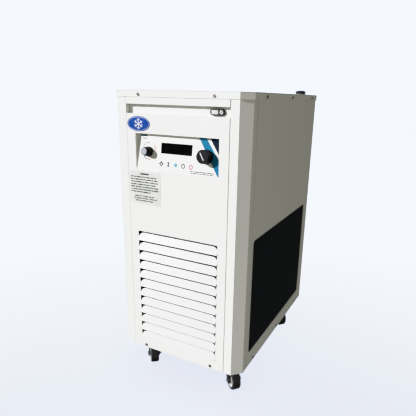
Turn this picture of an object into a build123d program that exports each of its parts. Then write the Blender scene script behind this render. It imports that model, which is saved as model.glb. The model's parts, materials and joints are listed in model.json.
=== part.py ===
"""Floor-standing recirculating chiller on four swivel casters.

Frame: millimetres, +Z up, floor at z = 0, front face towards -Y, right side
towards +X, origin on the floor under the middle of the bounding box.
The cabinet is a folded sheet case (front posts with a 45 degree corner, lid,
front, side and rear panels on a base tray) around a small refrigeration
circuit, an insulated coolant tank and a circulation pump.
"""
import os
from math import cos, sin, radians, atan2, degrees, sqrt, hypot
from build123d import *

os.makedirs("parts", exist_ok=True)

# ---------------------------------------------------------------- dimensions
W = 350.0            # cabinet width over the side panels
D = 498.0            # cabinet depth, front plane to rear plane
T = 1.2              # sheet thickness
ZB = 72.0            # underside of the cabinet above the floor
CASE_H = 642.5       # underside of the cabinet to the lower edge of the lid lip
LIP = 15.0           # height of the lid lip
OVER = 1.8           # overhang of the lid on every side
CH = 22.0            # size of the 45 degree front corners
POST_IN = {-1: 132.7, 1: 133.5}   # inner edges of the front posts, from the centre line
RETURN = 42.2        # depth of the post's side return
SEAM = 1.3           # gap between the side return and the side panel
PROUD = 0.35         # side panels stand out over the posts
KNOB_OUT = 15.80     # knob tips in front of the front plane
REAR_OUT = 34.0      # hose nozzles behind the rear plane
HW = W / 2
YF = -(D + REAR_OUT - KNOB_OUT) / 2   # y of the front plane
YR = YF + D                            # y of the rear plane
ZT = ZB + CASE_H + LIP                 # top of the lid

PANEL_W = 131.7      # half width of the front panel
PANEL_X = -0.1       # the panel's own middle: the gap is wider on its right
PANEL_TOP = 606.3    # front plate of the panel, above ZB
POCKET_D = 12.5      # depth of the finger pocket
POCKET_TOP = 627.0   # underside of the header strip, above ZB

WIN_HW, WIN_Z0, WIN_Z1 = 108.7, 480.0, 562.5   # control opening
WIN_D = 11.2         # extra depth of the control face at its top

LOUVRE_HW, LOUVRE_TOP, LOUVRE_PITCH, LOUVRE_N = 109.3, 326.0, 25.0, 12
SLAT_IN, SLAT_OUT = 5.0, 3.0   # top edge inwards, bottom edge outwards
SLAT_RISE, SLAT_DROP = 18.1, 23.2   # height of a slat, its lower edge below the pitch line
SLAT_A, SLAT_B = 14.0, 13.0   # width and height of a slat's rounded upper corners

MESH_Y0, MESH_Y1, MESH_Z0, MESH_Z1 = 52.5, 460.0, 37.0, 333.0  # side openings

CASTER_X, CASTER_YF, CASTER_YR = 121.7, 65.0, 425.0
WHEEL_R, WHEEL_W, TRAIL = 25.0, 21.0, 25.0
CASTER_SET = {"fl": -49.0, "fr": -43.0, "rl": -43.0, "rr": -43.0}  # swivel, degrees

NECK_X, NECK_Y = 140.0, 455.0    # filler neck


# ------------------------------------------------------------------- helpers
def y(depth):
    """World y of a depth behind the front plane."""
    return YF + depth


def z(height):
    """World z of a height above the underside of the cabinet."""
    return ZB + height


def front(depth=0.0):
    """Plane parallel to the front, local x = +X, local y = +Z, normal -Y."""
    return Plane(origin=(0, y(depth), 0), x_dir=(1, 0, 0), z_dir=(0, -1, 0))


def rear(depth=D):
    """Plane parallel to the rear, local x = -X, local y = +Z, normal +Y."""
    return Plane(origin=(0, y(depth), 0), x_dir=(-1, 0, 0), z_dir=(0, 1, 0))


def level(height):
    """Horizontal plane at a height above the underside of the cabinet."""
    return Plane.XY.offset(z(height))


def side(x):
    """Plane across X, local x = +Y, local y = +Z, normal +X."""
    return Plane(origin=(x, 0, 0), x_dir=(0, 1, 0), z_dir=(1, 0, 0))


def strip(pts, t):
    """Closed outline of an open polyline thickened by t to its left side."""
    def unit(a, b):
        d = hypot(b[0] - a[0], b[1] - a[1])
        return ((b[0] - a[0]) / d, (b[1] - a[1]) / d)
    inner = []
    n = len(pts)
    for i, p in enumerate(pts):
        if i == 0:
            u = unit(pts[0], pts[1]); m = (-u[1], u[0]); k = 1.0
        elif i == n - 1:
            u = unit(pts[-2], pts[-1]); m = (-u[1], u[0]); k = 1.0
        else:
            u, v = unit(pts[i - 1], p), unit(p, pts[i + 1])
            a, b = (-u[1], u[0]), (-v[1], v[0])
            m = (a[0] + b[0], a[1] + b[1]); k = 2.0 / (m[0] ** 2 + m[1] ** 2)
        inner.append((p[0] + m[0] * t * k, p[1] + m[1] * t * k))
    return list(pts) + inner[::-1]


def save(part, name):
    part.label = name
    export_step(part, f"parts/{name}.step")


# ---------------------------------------------------------------- front posts
# Folded strip: inner flange, front face, 45 degree corner, side return, with
# a joggled tab behind the side panel's front edge.
for sign, name in ((-1, "post_front_left"), (1, "post_front_right")):
    edge = POST_IN[sign]
    line = [(edge, y(14)), (edge, y(0)), (HW - CH, y(0)), (HW, y(CH)), (HW, y(RETURN))]
    pts = strip(line, T)
    pts = [(sign * px, py) for px, py in pts]
    with BuildPart() as post:
        with BuildSketch(level(0)):
            with BuildLine():
                Polyline(*pts, close=True)
            make_face()
        extrude(amount=655.5)
        with Locations((sign * (HW - T - 0.6), y(38), z(340))):
            Box(T, 16, 610)
        # notch in the inner flange for the ears of the header strip
        with Locations((sign * (edge + 2), y(8.2), z(650))):
            Box(8, 14.2, 16, mode=Mode.SUBTRACT)
    save(post.part, name)

# --------------------------------------------------------------- header strip
# Fixed strip over the finger pocket, with ears behind the posts and the
# strike that the latch cam closes behind.
with BuildPart() as header_strip:
    with BuildSketch(side(PANEL_X - PANEL_W)):
        with BuildLine():
            Polyline((y(0), z(655)), (y(0), z(POCKET_TOP)), (y(11), z(POCKET_TOP)),
                     (y(11), z(POCKET_TOP + T)), (y(T), z(POCKET_TOP + T)), (y(T), z(655)), close=True)
        make_face()
    extrude(amount=2 * PANEL_W)
    with Locations((0, y(T + 0.6), z(649))):
        Box(300, T, 11)
    with Locations((107.5, y(16.35), z(652.4))):
        Box(24, 30.3, T)
    with Locations((107.5, y(30.9), z(644.5))):
        Box(24, T, 17)
    with BuildSketch(front(-1)):
        with Locations((-96.3, z(648)), (96.3, z(648))):
            Circle(1.98)
    extrude(amount=-5, mode=Mode.SUBTRACT)
save(header_strip.part, "header_strip")

# ------------------------------------------------------------------ top cover
# Folded lid with a lip all round that follows the cut front corners.
def cab_outline(o):
    k = o * 0.41421
    return [(-HW - o, y(CH - k)), (-HW + CH - k, y(-o)), (HW - CH + k, y(-o)), (HW + o, y(CH - k)),
            (HW + o, y(D + o)), (-HW - o, y(D + o))]

with BuildPart() as top_cover:
    with BuildSketch(level(CASE_H)):
        with BuildLine():
            Polyline(*cab_outline(OVER), close=True)
        make_face()
    extrude(amount=LIP)
    top_edges = top_cover.faces().sort_by(Axis.Z)[-1].edges()
    fillet(top_edges, 1.5)
    with BuildSketch(level(CASE_H)):
        with BuildLine():
            Polyline(*cab_outline(OVER - T), close=True)
        make_face()
    extrude(amount=LIP - T, mode=Mode.SUBTRACT)
    with BuildSketch(level(CASE_H + LIP + 1)):
        with Locations((NECK_X, y(NECK_Y))):
            Circle(12.3)
    extrude(amount=-4, mode=Mode.SUBTRACT)
    with BuildSketch(level(CASE_H + LIP)):
        with Locations((NECK_X, y(NECK_Y))):
            Circle(15.3)
    extrude(amount=-0.3, mode=Mode.SUBTRACT)
    with BuildSketch(front(-4)):
        with Locations((-96.3, z(648)), (96.3, z(648))):
            Circle(2.0)
    extrude(amount=-6, mode=Mode.SUBTRACT)
    with BuildSketch(side(-HW - 4)):
        with Locations((y(88), z(649)), (y(265), z(649)), (y(447), z(649))):
            Circle(2.0)
    extrude(amount=W + 8, mode=Mode.SUBTRACT)
    with BuildSketch(rear(D + 4)):
        with Locations((-96.3, z(649)), (96.3, z(649))):
            Circle(2.0)
    extrude(amount=-6, mode=Mode.SUBTRACT)
save(top_cover.part, "top_cover")

# ---------------------------------------------------------------- front panel
# One folded sheet: front plate, side, bottom and top flanges, control opening
# and twelve tilted louvre slats. The top flange is the floor of the finger
# pocket; the pocket's rear wall is a flat strip welded behind its edge.
with BuildPart() as front_panel:
    with BuildSketch(front(0)):
        with Locations((PANEL_X, z((0.5 + PANEL_TOP) / 2))):
            Rectangle(2 * PANEL_W, PANEL_TOP - 0.5)
        with Locations((0, z((WIN_Z0 + WIN_Z1) / 2))):
            Rectangle(2 * WIN_HW, WIN_Z1 - WIN_Z0, mode=Mode.SUBTRACT)
        with Locations((0, z(LOUVRE_TOP - LOUVRE_N * LOUVRE_PITCH / 2))):
            Rectangle(2 * LOUVRE_HW, LOUVRE_N * LOUVRE_PITCH, mode=Mode.SUBTRACT)
        with Locations((-96.2, z(7.8)), (96.2, z(7.8))):
            Circle(2.0, mode=Mode.SUBTRACT)
    extrude(amount=-T)
    with Locations((PANEL_X - PANEL_W + T / 2, y(6), z((0.5 + PANEL_TOP) / 2)),
                   (PANEL_X + PANEL_W - T / 2, y(6), z((0.5 + PANEL_TOP) / 2))):
        Box(T, 12, PANEL_TOP - 0.5)
    with Locations((PANEL_X, y(POCKET_D / 2), z(PANEL_TOP - T / 2))):
        Box(2 * PANEL_W, POCKET_D, T)
    with Locations((PANEL_X, y(6), z(0.5 + T / 2))):
        Box(2 * PANEL_W, 12, T)
    # slats: each a flat strip leaning outwards at its lower edge, with rounded
    # upper corners and an air gap above it
    run = SLAT_IN + SLAT_OUT
    slat_l = hypot(run, SLAT_RISE)
    for i in range(LOUVRE_N):
        zb = z(LOUVRE_TOP - i * LOUVRE_PITCH - SLAT_DROP)
        hw = LOUVRE_HW + 0.3
        with BuildSketch(Plane(origin=(0, y(-SLAT_OUT), zb), x_dir=(1, 0, 0), z_dir=(0, -SLAT_RISE, run))):
            with Locations((0, (slat_l - SLAT_B) / 2)):
                Rectangle(2 * hw, slat_l - SLAT_B)
            with Locations((0, slat_l / 2)):
                Rectangle(2 * (hw - SLAT_A), slat_l)
            with Locations((-hw + SLAT_A, slat_l - SLAT_B), (hw - SLAT_A, slat_l - SLAT_B)):
                Ellipse(SLAT_A, SLAT_B)
            with Locations((0, -SLAT_B)):
                Rectangle(2 * hw, 2 * SLAT_B, mode=Mode.SUBTRACT)
        extrude(amount=-T)
save(front_panel.part, "front_panel")

with BuildPart() as panel_pocket:
    with BuildSketch(front(POCKET_D)):
        with Locations((PANEL_X, z((PANEL_TOP - T + 649) / 2))):
            Rectangle(2 * PANEL_W, 649 - PANEL_TOP + T)
    extrude(amount=-T)
    # opening for the latch body
    with BuildSketch(front(POCKET_D - 1)):
        with Locations((98.8, z(615.7))):
            Rectangle(30.2, 10.2)
    extrude(amount=-4, mode=Mode.SUBTRACT)
save(panel_pocket.part, "panel_pocket")

# ------------------------------------------------------------- control fascia
# Folded tray behind the control opening: inclined face, side and top walls,
# and a flange against the back of the front panel.
FACE_LO = (y(1.3), z(480.0))
FACE_HI = (y(1.3 + WIN_D), z(562.8))
lean = atan2(FACE_HI[0] - FACE_LO[0], FACE_HI[1] - FACE_LO[1])
N = (0, -cos(lean), sin(lean))           # outward normal of the control face


def on_face(px, height, lift=0.0):
    """Plane on the control face, normal to it, at x and a height above ZB."""
    f = (z(height) - FACE_LO[1]) / (FACE_HI[1] - FACE_LO[1])
    p = (px, FACE_LO[0] + f * (FACE_HI[0] - FACE_LO[0]), z(height))
    o = tuple(p[k] + N[k] * lift for k in range(3))
    return Plane(origin=o, x_dir=(1, 0, 0), z_dir=N)


KNOB_L, KNOB_R, KNOB_Z = -76.0, 76.0, 521.5
DISP_X, DISP_Z, DISP_W, DISP_H = -2.2, 532.0, 82.0, 24.2
with BuildPart() as control_fascia:
    with BuildSketch(side(-109.9)):
        with BuildLine():
            Polyline((y(T), z(478.4)), (y(T), z(564.4)), (FACE_HI[0] + 1.6, z(564.4)),
                     (FACE_LO[0] + 1.5, z(478.4)), close=True)
        make_face()
    extrude(amount=219.8)
    with Locations((0, y(T + 0.6), z(521.4))):
        Box(236, T, 100)
    with BuildSketch(side(-108.6)):
        with BuildLine():
            Polyline((y(0.6), z(480.0)), (y(0.6), z(563.0)), (FACE_HI[0], z(563.0)), FACE_HI, FACE_LO, close=True)
        make_face()
    extrude(amount=217.2, mode=Mode.SUBTRACT)
    with BuildSketch(on_face(DISP_X, DISP_Z, 2)):
        Rectangle(DISP_W, DISP_H)
    extrude(amount=-6, mode=Mode.SUBTRACT)
    for kx in (KNOB_L, KNOB_R):
        with BuildSketch(on_face(kx, KNOB_Z, 2)):
            Circle(4.1)
        extrude(amount=-6, mode=Mode.SUBTRACT)
save(control_fascia.part, "control_fascia")

with BuildPart() as display_window:
    with BuildSketch(on_face(DISP_X, DISP_Z, -0.25)):
        RectangleRounded(DISP_W - 0.3, DISP_H - 0.3, 0.8)
    extrude(amount=-3)
save(display_window.part, "display_window")

with BuildPart() as circuit_boards:
    with BuildSketch(on_face(-2, 522, -12)):
        Rectangle(118, 62)
        for sx in (-54, 54):
            with Locations((sx, 26), (sx, -26)):
                Circle(1.6, mode=Mode.SUBTRACT)
    extrude(amount=-1.6)
    with BuildSketch(on_face(DISP_X, DISP_Z, -12)):
        Rectangle(78, 20)
    extrude(amount=8)
    with BuildSketch(on_face(-2, 498, -12)):
        with GridLocations(19.6, 1, 5, 1):
            Circle(2.4)
    extrude(amount=9)
    # main board in the electrical box: board, transformer and three relays
    with Locations((-155, y(190), z(500))):
        Box(1.6, 150, 120)
    with Locations((-146, y(150), z(520))):
        Box(18, 44, 38)
    with Locations((-148.2, y(215), z(530)), (-148.2, y(240), z(530)), (-148.2, y(225), z(470))):
        Box(13, 16, 20)
save(circuit_boards.part, "circuit_boards")

# Spindles of the two controls: a threaded bush through the fascia, a square
# body behind it and a round shaft in front.
with BuildPart() as control_spindles:
    for kx in (KNOB_L, KNOB_R):
        with BuildSketch(on_face(kx, KNOB_Z, -1.6)):
            Rectangle(17, 17)
        extrude(amount=-12)
        with BuildSketch(on_face(kx, KNOB_Z, -1.6)):
            Circle(4.0)
        extrude(amount=2.2)
        with BuildSketch(on_face(kx, KNOB_Z, 0.5)):
            Circle(3.0)
        extrude(amount=13)
save(control_spindles.part, "control_spindles")

# Setting knob: fluted black skirt with a flat face and a raised pointer.
with BuildPart() as setting_knob:
    with BuildSketch(on_face(KNOB_R, KNOB_Z, 1.0)):
        Circle(16)
    extrude(amount=3)
    with BuildSketch(on_face(KNOB_R, KNOB_Z, 4.0)):
        Circle(15)
        with PolarLocations(15.6, 20):
            Circle(1.3, mode=Mode.SUBTRACT)
    extrude(amount=17)
    fillet(setting_knob.faces().sort_by(Axis.Y)[0].outer_wire().edges(), 0.8)
    with BuildSketch(on_face(KNOB_R, KNOB_Z, 21.0)):
        Circle(10.5)
    extrude(amount=-1.2, mode=Mode.SUBTRACT)
    with BuildSketch(on_face(KNOB_R, KNOB_Z, 19.8)):
        with Locations(Location((-1.5, 0), -58)):
            SlotOverall(19, 2.4)
    extrude(amount=1.0)
    with BuildSketch(on_face(KNOB_R, KNOB_Z, 0.5)):
        Circle(3.06)
    extrude(amount=14, mode=Mode.SUBTRACT)
save(setting_knob.part, "setting_knob")

# Flow knob: stepped black body with flutes and a smaller cap.
with BuildPart() as flow_knob:
    with BuildSketch(on_face(KNOB_L, KNOB_Z, 1.0)):
        Circle(11.5)
    extrude(amount=2.5)
    with BuildSketch(on_face(KNOB_L, KNOB_Z, 3.5)):
        Circle(10.6)
        with PolarLocations(11.2, 16):
            Circle(1.2, mode=Mode.SUBTRACT)
    extrude(amount=10)
    with BuildSketch(on_face(KNOB_L, KNOB_Z, 13.5)):
        Circle(9.6)
    with BuildSketch(on_face(KNOB_L, KNOB_Z, 20.5)):
        Circle(8.6)
    loft()
    fillet(flow_knob.faces().sort_by(Axis.Y)[0].outer_wire().edges(), 0.8)
    with BuildSketch(on_face(KNOB_L, KNOB_Z, 0.5)):
        Circle(3.06)
    extrude(amount=13.6, mode=Mode.SUBTRACT)
save(flow_knob.part, "flow_knob")

# ---------------------------------------------------------------------- latch
LX, LZ = 98.8, 615.7
with BuildPart() as latch_housing:
    with BuildSketch(front(POCKET_D)):
        with Locations((LX, z(LZ))):
            SlotOverall(35, 14)
    extrude(amount=5)
    fillet(latch_housing.faces().sort_by(Axis.Y)[0].outer_wire().edges(), 1.2)
    with BuildSketch(front(POCKET_D)):
        with Locations((LX, z(LZ))):
            Rectangle(30, 10)
    extrude(amount=-14)
    # recess of the paddle and bore of the key cylinder
    with BuildSketch(front(POCKET_D - 5)):
        with Locations((LX - 5.6, z(LZ))):
            RectangleRounded(17.4, 9.6, 1.2)
    extrude(amount=-6, mode=Mode.SUBTRACT)
    with BuildSketch(front(POCKET_D - 6)):
        with Locations((LX + 9.6, z(LZ))):
            Circle(4.06)
    extrude(amount=-24, mode=Mode.SUBTRACT)
save(latch_housing.part, "latch_housing")

PAD_X1 = LX + 1.2                # hinge side of the paddle
PAD_AX = (PAD_X1, y(POCKET_D - 3.2))
with BuildPart() as latch_paddle:
    with BuildSketch(level(LZ - 4.3)):
        with BuildLine():
            Polyline((PAD_X1 - 14.6, y(POCKET_D - 5.2)), (PAD_X1, y(POCKET_D - 5.2)),
                     (PAD_X1, y(POCKET_D - 3.2)), (PAD_X1 - 14.6, y(POCKET_D - 3.2)), close=True)
        make_face()
        with Locations(PAD_AX):
            Circle(1.6)
    extrude(amount=8.6)
save(latch_paddle.part, "latch_paddle")

with BuildPart() as latch_cylinder:
    with BuildSketch(front(POCKET_D - 5.6)):
        with Locations((LX + 9.6, z(LZ))):
            Circle(4.0)
    extrude(amount=-27.2)
    with BuildSketch(front(POCKET_D - 5.6)):
        with Locations(Location((LX + 9.6, z(LZ)), 45)):
            SlotOverall(5.6, 1.3)
    extrude(amount=-3, mode=Mode.SUBTRACT)
    with BuildSketch(front(POCKET_D + 19.6)):
        with Locations((LX + 9.6, z(LZ + 9.5))):
            RectangleRounded(9, 28, 3.5)
    extrude(amount=-2)
save(latch_cylinder.part, "latch_cylinder")

# --------------------------------------------------------------- badge, label
with BuildPart() as badge_plate:
    with BuildSketch(front(0)):
        with Locations((-98.5, z(583.5))):
            Ellipse(31.5, 17)
    extrude(amount=0.8)
    fillet(badge_plate.faces().sort_by(Axis.Y)[0].edges(), 0.35)
save(badge_plate.part, "badge_plate")

with BuildPart() as rating_label:
    with BuildSketch(front(0)):
        with Locations((-85.7, z(435))):
            RectangleRounded(89, 79, 2)
    extrude(amount=0.3)
save(rating_label.part, "rating_label")

# ---------------------------------------------------------------- side panels
# Flat sheet with the air opening and an inward flange along its rear edge,
# and the dust net behind the opening.
for sign, tag in ((-1, "left"), (1, "right")):
    xo = sign * (HW + PROUD)
    with BuildPart() as side_panel:
        with BuildSketch(side(xo)):
            with Locations((y((RETURN + SEAM + D - T) / 2), z(328))):
                Rectangle(D - T - RETURN - SEAM, 655)
            with Locations((y((MESH_Y0 + MESH_Y1) / 2), z((MESH_Z0 + MESH_Z1) / 2))):
                RectangleRounded(MESH_Y1 - MESH_Y0, MESH_Z1 - MESH_Z0, 9, mode=Mode.SUBTRACT)
            with Locations((y(84.4), z(7.5)), (y(263), z(7.5)), (y(434), z(7.5)),
                           (y(88), z(649)), (y(265), z(649)), (y(447), z(649))):
                Circle(2.0, mode=Mode.SUBTRACT)
        extrude(amount=-sign * T)
        with Locations((xo - sign * 8, y(D - T - 0.6), z(328))):
            Box(16, T, 655)
        with Locations((sign * 166, y(D - T), z(30)), (sign * 166, y(D - T), z(320)), (sign * 166, y(D - T), z(620))):
            Cylinder(2.0, 10, rotation=(90, 0, 0), mode=Mode.SUBTRACT)
    save(side_panel.part, f"side_panel_{tag}")
    with BuildPart() as side_net:
        with BuildSketch(side(sign * (HW + PROUD - T - 0.1))):
            with Locations((y((MESH_Y0 + MESH_Y1) / 2), z((MESH_Z0 + MESH_Z1) / 2))):
                RectangleRounded(MESH_Y1 - MESH_Y0 + 10.4, MESH_Z1 - MESH_Z0 + 12, 9)
        extrude(amount=-sign * 1.4)
        # the woven field is thinner than its moulded border
        with BuildSketch(side(sign * (HW + PROUD - T - 1.0))):
            with Locations((y((MESH_Y0 + MESH_Y1) / 2), z((MESH_Z0 + MESH_Z1) / 2))):
                RectangleRounded(MESH_Y1 - MESH_Y0 - 6, MESH_Z1 - MESH_Z0 - 6, 6)
        extrude(amount=-sign * 2, mode=Mode.SUBTRACT)
    save(side_net.part, f"side_net_{tag}")

# ----------------------------------------------------------------- rear panel
NOZ_X, NOZ_OUT_Z, NOZ_IN_Z = -95.0, 520.0, 575.0
DRAIN_X, DRAIN_Z = 95.0, 60.0
INLET_X, INLET_Z, SWITCH_Z = -110.0, 60.0, 105.0
with BuildPart() as rear_panel:
    with BuildSketch(rear(D - T)):
        with Locations((0, z(328))):
            Rectangle(2 * HW - 1.2, 655)
        with Locations((0, z(230))):
            with GridLocations(110, 14, 2, 14):
                SlotOverall(96, 5, mode=Mode.SUBTRACT)
        with Locations((-NOZ_X, z(NOZ_OUT_Z)), (-NOZ_X, z(NOZ_IN_Z)), (-DRAIN_X, z(DRAIN_Z))):
            Circle(8.1, mode=Mode.SUBTRACT)
        with Locations((-INLET_X, z(INLET_Z))):
            Rectangle(28.4, 21.2, mode=Mode.SUBTRACT)
        with Locations((-INLET_X, z(SWITCH_Z))):
            Rectangle(22.2, 13.2, mode=Mode.SUBTRACT)
        with Locations((-96.3, z(649)), (96.3, z(649)), (-166, z(30)), (166, z(30)), (-166, z(320)),
                       (166, z(320)), (-166, z(620)), (166, z(620))):
            Circle(2.0, mode=Mode.SUBTRACT)
    extrude(amount=T)
save(rear_panel.part, "rear_panel")

# ------------------------------------------------------------------ base tray
tray = [(-129, y(2)), (129, y(2)), (129, y(15)), (161, y(15)), (173.2, y(27.2)), (173.2, y(D - 3.4)),
        (-173.2, y(D - 3.4)), (-173.2, y(27.2)), (-161, y(15)), (-129, y(15))]
with BuildPart() as base_tray:
    with BuildSketch(level(2)):
        with BuildLine():
            Polyline(*tray, close=True)
        make_face()
    extrude(amount=18)
    with BuildSketch(level(3.5)):
        with BuildLine():
            Polyline(*tray, close=True)
        make_face()
        offset(amount=-1.5)
    extrude(amount=20, mode=Mode.SUBTRACT)
    with BuildSketch(level(0)):
        for cx in (-CASTER_X, CASTER_X):
            for cy in (y(CASTER_YF), y(CASTER_YR)):
                with Locations((cx, cy)):
                    with GridLocations(38, 38, 2, 2):
                        Circle(3.2)
    extrude(amount=6, mode=Mode.SUBTRACT)
    with BuildSketch(front(-2)):
        with Locations((-96.2, z(7.8)), (96.2, z(7.8))):
            Circle(1.98)
    extrude(amount=-8, mode=Mode.SUBTRACT)
    with BuildSketch(side(-HW - 3)):
        with Locations((y(84.4), z(7.5)), (y(263), z(7.5)), (y(434), z(7.5))):
            Circle(1.98)
    extrude(amount=W + 6, mode=Mode.SUBTRACT)
save(base_tray.part, "base_tray")


# --------------------------------------------------------------------- screws
def pan_screw(plane, length=8.0, head=3.7, shank=1.95):
    with BuildSketch(plane) as s_head:
        Circle(head)
    extrude(s_head.sketch, amount=2.0, taper=14)
    with BuildSketch(plane) as s_shank:
        Circle(shank)
    extrude(s_shank.sketch, amount=-length)
    with BuildSketch(plane.offset(2.0)) as s_cross:
        Rectangle(3.6, 0.8)
        Rectangle(0.8, 3.6)
    extrude(s_cross.sketch, amount=-1.1, mode=Mode.SUBTRACT)


def at(origin, normal):
    xd = (1, 0, 0) if abs(normal[0]) < 0.5 else (0, 1, 0)
    return Plane(origin=origin, x_dir=xd, z_dir=normal)


with BuildPart() as cabinet_screws:
    for sx in (-96.3, 96.3):
        pan_screw(at((sx, y(-OVER), z(648)), (0, -1, 0)))
        pan_screw(at((sx, y(D + OVER), z(649)), (0, 1, 0)))
    for sy in (88, 265, 447):
        for sign in (-1, 1):
            pan_screw(at((sign * (HW + OVER), y(sy), z(649)), (sign, 0, 0)))
    for sx in (-96.2, 96.2):
        pan_screw(at((sx, y(0), z(7.8)), (0, -1, 0)))
    for sy in (84.4, 263, 434):
        for sign in (-1, 1):
            pan_screw(at((sign * (HW + PROUD), y(sy), z(7.5)), (sign, 0, 0)))
    for sx in (-166, 166):
        for sz in (30, 320, 620):
            pan_screw(at((sx, y(D), z(sz)), (0, 1, 0)), length=5)
    # hexagon bolts with nuts that hold the caster plates to the tray
    for cx in (-CASTER_X, CASTER_X):
        for cy in (y(CASTER_YF), y(CASTER_YR)):
            for bx in (-19, 19):
                for by in (-19, 19):
                    with BuildSketch(Plane(origin=(cx + bx, cy + by, ZB - 3.6))) as s_hex:
                        RegularPolygon(5.0, 6)
                    extrude(s_hex.sketch, amount=2.6)
                    with BuildSketch(Plane(origin=(cx + bx, cy + by, ZB - 1.0))) as s_stud:
                        Circle(3.0)
                    extrude(s_stud.sketch, amount=11)
                    with BuildSketch(Plane(origin=(cx + bx, cy + by, ZB + 3.5))) as s_nut:
                        RegularPolygon(5.0, 6)
                    extrude(s_nut.sketch, amount=4.5)
save(cabinet_screws.part, "cabinet_screws")

# -------------------------------------------------------------------- casters
# Swivel plates with raceway boss, king pin and rivet head; forks, wheels and
# axle bolts. The plate top is the underside of the base tray.
PLATE_TOP = ZB + 2.0
with BuildPart() as caster_plates:
    for cx in (-CASTER_X, CASTER_X):
        for cy in (y(CASTER_YF), y(CASTER_YR)):
            with BuildSketch(Plane(origin=(cx, cy, PLATE_TOP))):
                RectangleRounded(52, 52, 5)
                with GridLocations(38, 38, 2, 2):
                    Circle(3.2, mode=Mode.SUBTRACT)
            extrude(amount=-3)
            with BuildSketch(Plane(origin=(cx, cy, PLATE_TOP - 3))):
                Circle(13)
            extrude(amount=-2.2)
            with BuildSketch(Plane(origin=(cx, cy, PLATE_TOP - 5))):
                Circle(5)
            extrude(amount=-9.8)
            with BuildSketch(Plane(origin=(cx, cy, PLATE_TOP - 11.9))):
                Circle(8)
            extrude(amount=-3)
save(caster_plates.part, "caster_plates")

FORK_TOP = PLATE_TOP - 5.55      # top of the fork crown
AX_Z = WHEEL_R
CASTERS = {"fl": (-CASTER_X, y(CASTER_YF)), "fr": (CASTER_X, y(CASTER_YF)),
           "rl": (-CASTER_X, y(CASTER_YR)), "rr": (CASTER_X, y(CASTER_YR))}
for tag, (cx, cy) in CASTERS.items():
    a = radians(CASTER_SET[tag])
    u, v = (cos(a), sin(a), 0), (-sin(a), cos(a), 0)   # trail direction, axle direction

    def pt(s, q=0.0, h=0.0):
        return (cx + u[0] * s + v[0] * q, cy + u[1] * s + v[1] * q, h)

    with BuildPart() as fork:
        with BuildSketch(Plane(origin=(cx, cy, FORK_TOP))):
            Circle(21)
        extrude(amount=-3.5)
        fillet(fork.faces().sort_by(Axis.Z)[-1].edges(), 2.0)
        with BuildSketch(Plane(origin=pt(0, 0, FORK_TOP - 3.5), x_dir=u, z_dir=(0, 0, 1))):
            with Locations((2, 0)):
                Rectangle(36, 29)
        extrude(amount=-5)
        with BuildSketch(Plane(origin=pt(0, 0, FORK_TOP - 6.0), x_dir=u, z_dir=(0, 0, 1))):
            with Locations((2, 0)):
                Rectangle(60, 24)
        extrude(amount=-6, mode=Mode.SUBTRACT)
        for q in (-14.5, 12.0):
            leg = Plane(origin=pt(0, q, 0), x_dir=u, z_dir=v)
            s = -1.0   # the leg plane's local y points down
            with BuildSketch(leg):
                with BuildLine():
                    Polyline((-16, s * (FORK_TOP - 6)), (20, s * (FORK_TOP - 6)), (33.5, s * AX_Z),
                             (25, s * (AX_Z - 9)), (16.5, s * AX_Z), close=True)
                make_face()
                with Locations((25, s * AX_Z)):
                    Circle(9)
            extrude(amount=2.5)
        with BuildSketch(Plane(origin=pt(25, -20, AX_Z), x_dir=u, z_dir=v)):
            Circle(3.0)
        extrude(amount=40, mode=Mode.SUBTRACT)
        with BuildSketch(Plane(origin=(cx, cy, FORK_TOP + 1))):
            Circle(5.06)
        extrude(amount=-12, mode=Mode.SUBTRACT)
    save(fork.part, f"caster_fork_{tag}")

    wp = Plane(origin=pt(TRAIL, -WHEEL_W / 2, AX_Z), x_dir=u, z_dir=v)
    with BuildPart() as wheel:
        with BuildSketch(wp):
            Circle(WHEEL_R)
        extrude(amount=WHEEL_W)
        fillet(wheel.edges().filter_by(GeomType.CIRCLE), 3.0)
        for off, amt in ((0.0, 2.0), (WHEEL_W - 2.0, 2.0)):
            with BuildSketch(wp.offset(off)):
                Circle(18)
                Circle(7.5, mode=Mode.SUBTRACT)
            extrude(amount=amt, mode=Mode.SUBTRACT)
        with BuildSketch(wp.offset(-2)):
            Circle(3.06)
        extrude(amount=WHEEL_W + 4, mode=Mode.SUBTRACT)
    save(wheel.part, f"caster_wheel_{tag}")

    ap = Plane(origin=pt(TRAIL, 0, AX_Z), x_dir=u, z_dir=v)
    with BuildPart() as axle:
        with BuildSketch(ap.offset(-14.5)):
            Circle(3.0)
        extrude(amount=31)
        with BuildSketch(ap.offset(-14.5)):
            RegularPolygon(5.2, 6)
        extrude(amount=-3.6)
        with BuildSketch(ap.offset(14.5)):
            RegularPolygon(5.2, 6)
        extrude(amount=4.2)
    save(axle.part, f"caster_axle_{tag}")

# --------------------------------------------------------- coolant tank group
TX0, TX1, TY0, TY1, TZ0, TZ1 = -40.0, 158.0, 300.0, 474.0, 420.0, 596.0
tcx, tcy, tcz = (TX0 + TX1) / 2, y((TY0 + TY1) / 2), z((TZ0 + TZ1) / 2)
with BuildPart() as reservoir_tank:
    with BuildSketch(level(TZ0)):
        with Locations((tcx, tcy)):
            RectangleRounded(TX1 - TX0, TY1 - TY0, 14)
    extrude(amount=TZ1 - TZ0)
    with BuildSketch(level(TZ0 + 1.5)):
        with Locations((tcx, tcy)):
            RectangleRounded(TX1 - TX0 - 3, TY1 - TY0 - 3, 12.5)
    extrude(amount=TZ1 - TZ0 - 3, mode=Mode.SUBTRACT)
    with BuildSketch(level(TZ1 + 1)):
        with Locations((NECK_X, y(NECK_Y))):
            Circle(11.05)
        with Locations((30, y(330))):
            Circle(3.1)
        with Locations((-14, y(452)), (-14, y(330))):
            Circle(4.1)
    extrude(amount=-4, mode=Mode.SUBTRACT)
save(reservoir_tank.part, "reservoir_tank")

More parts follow.
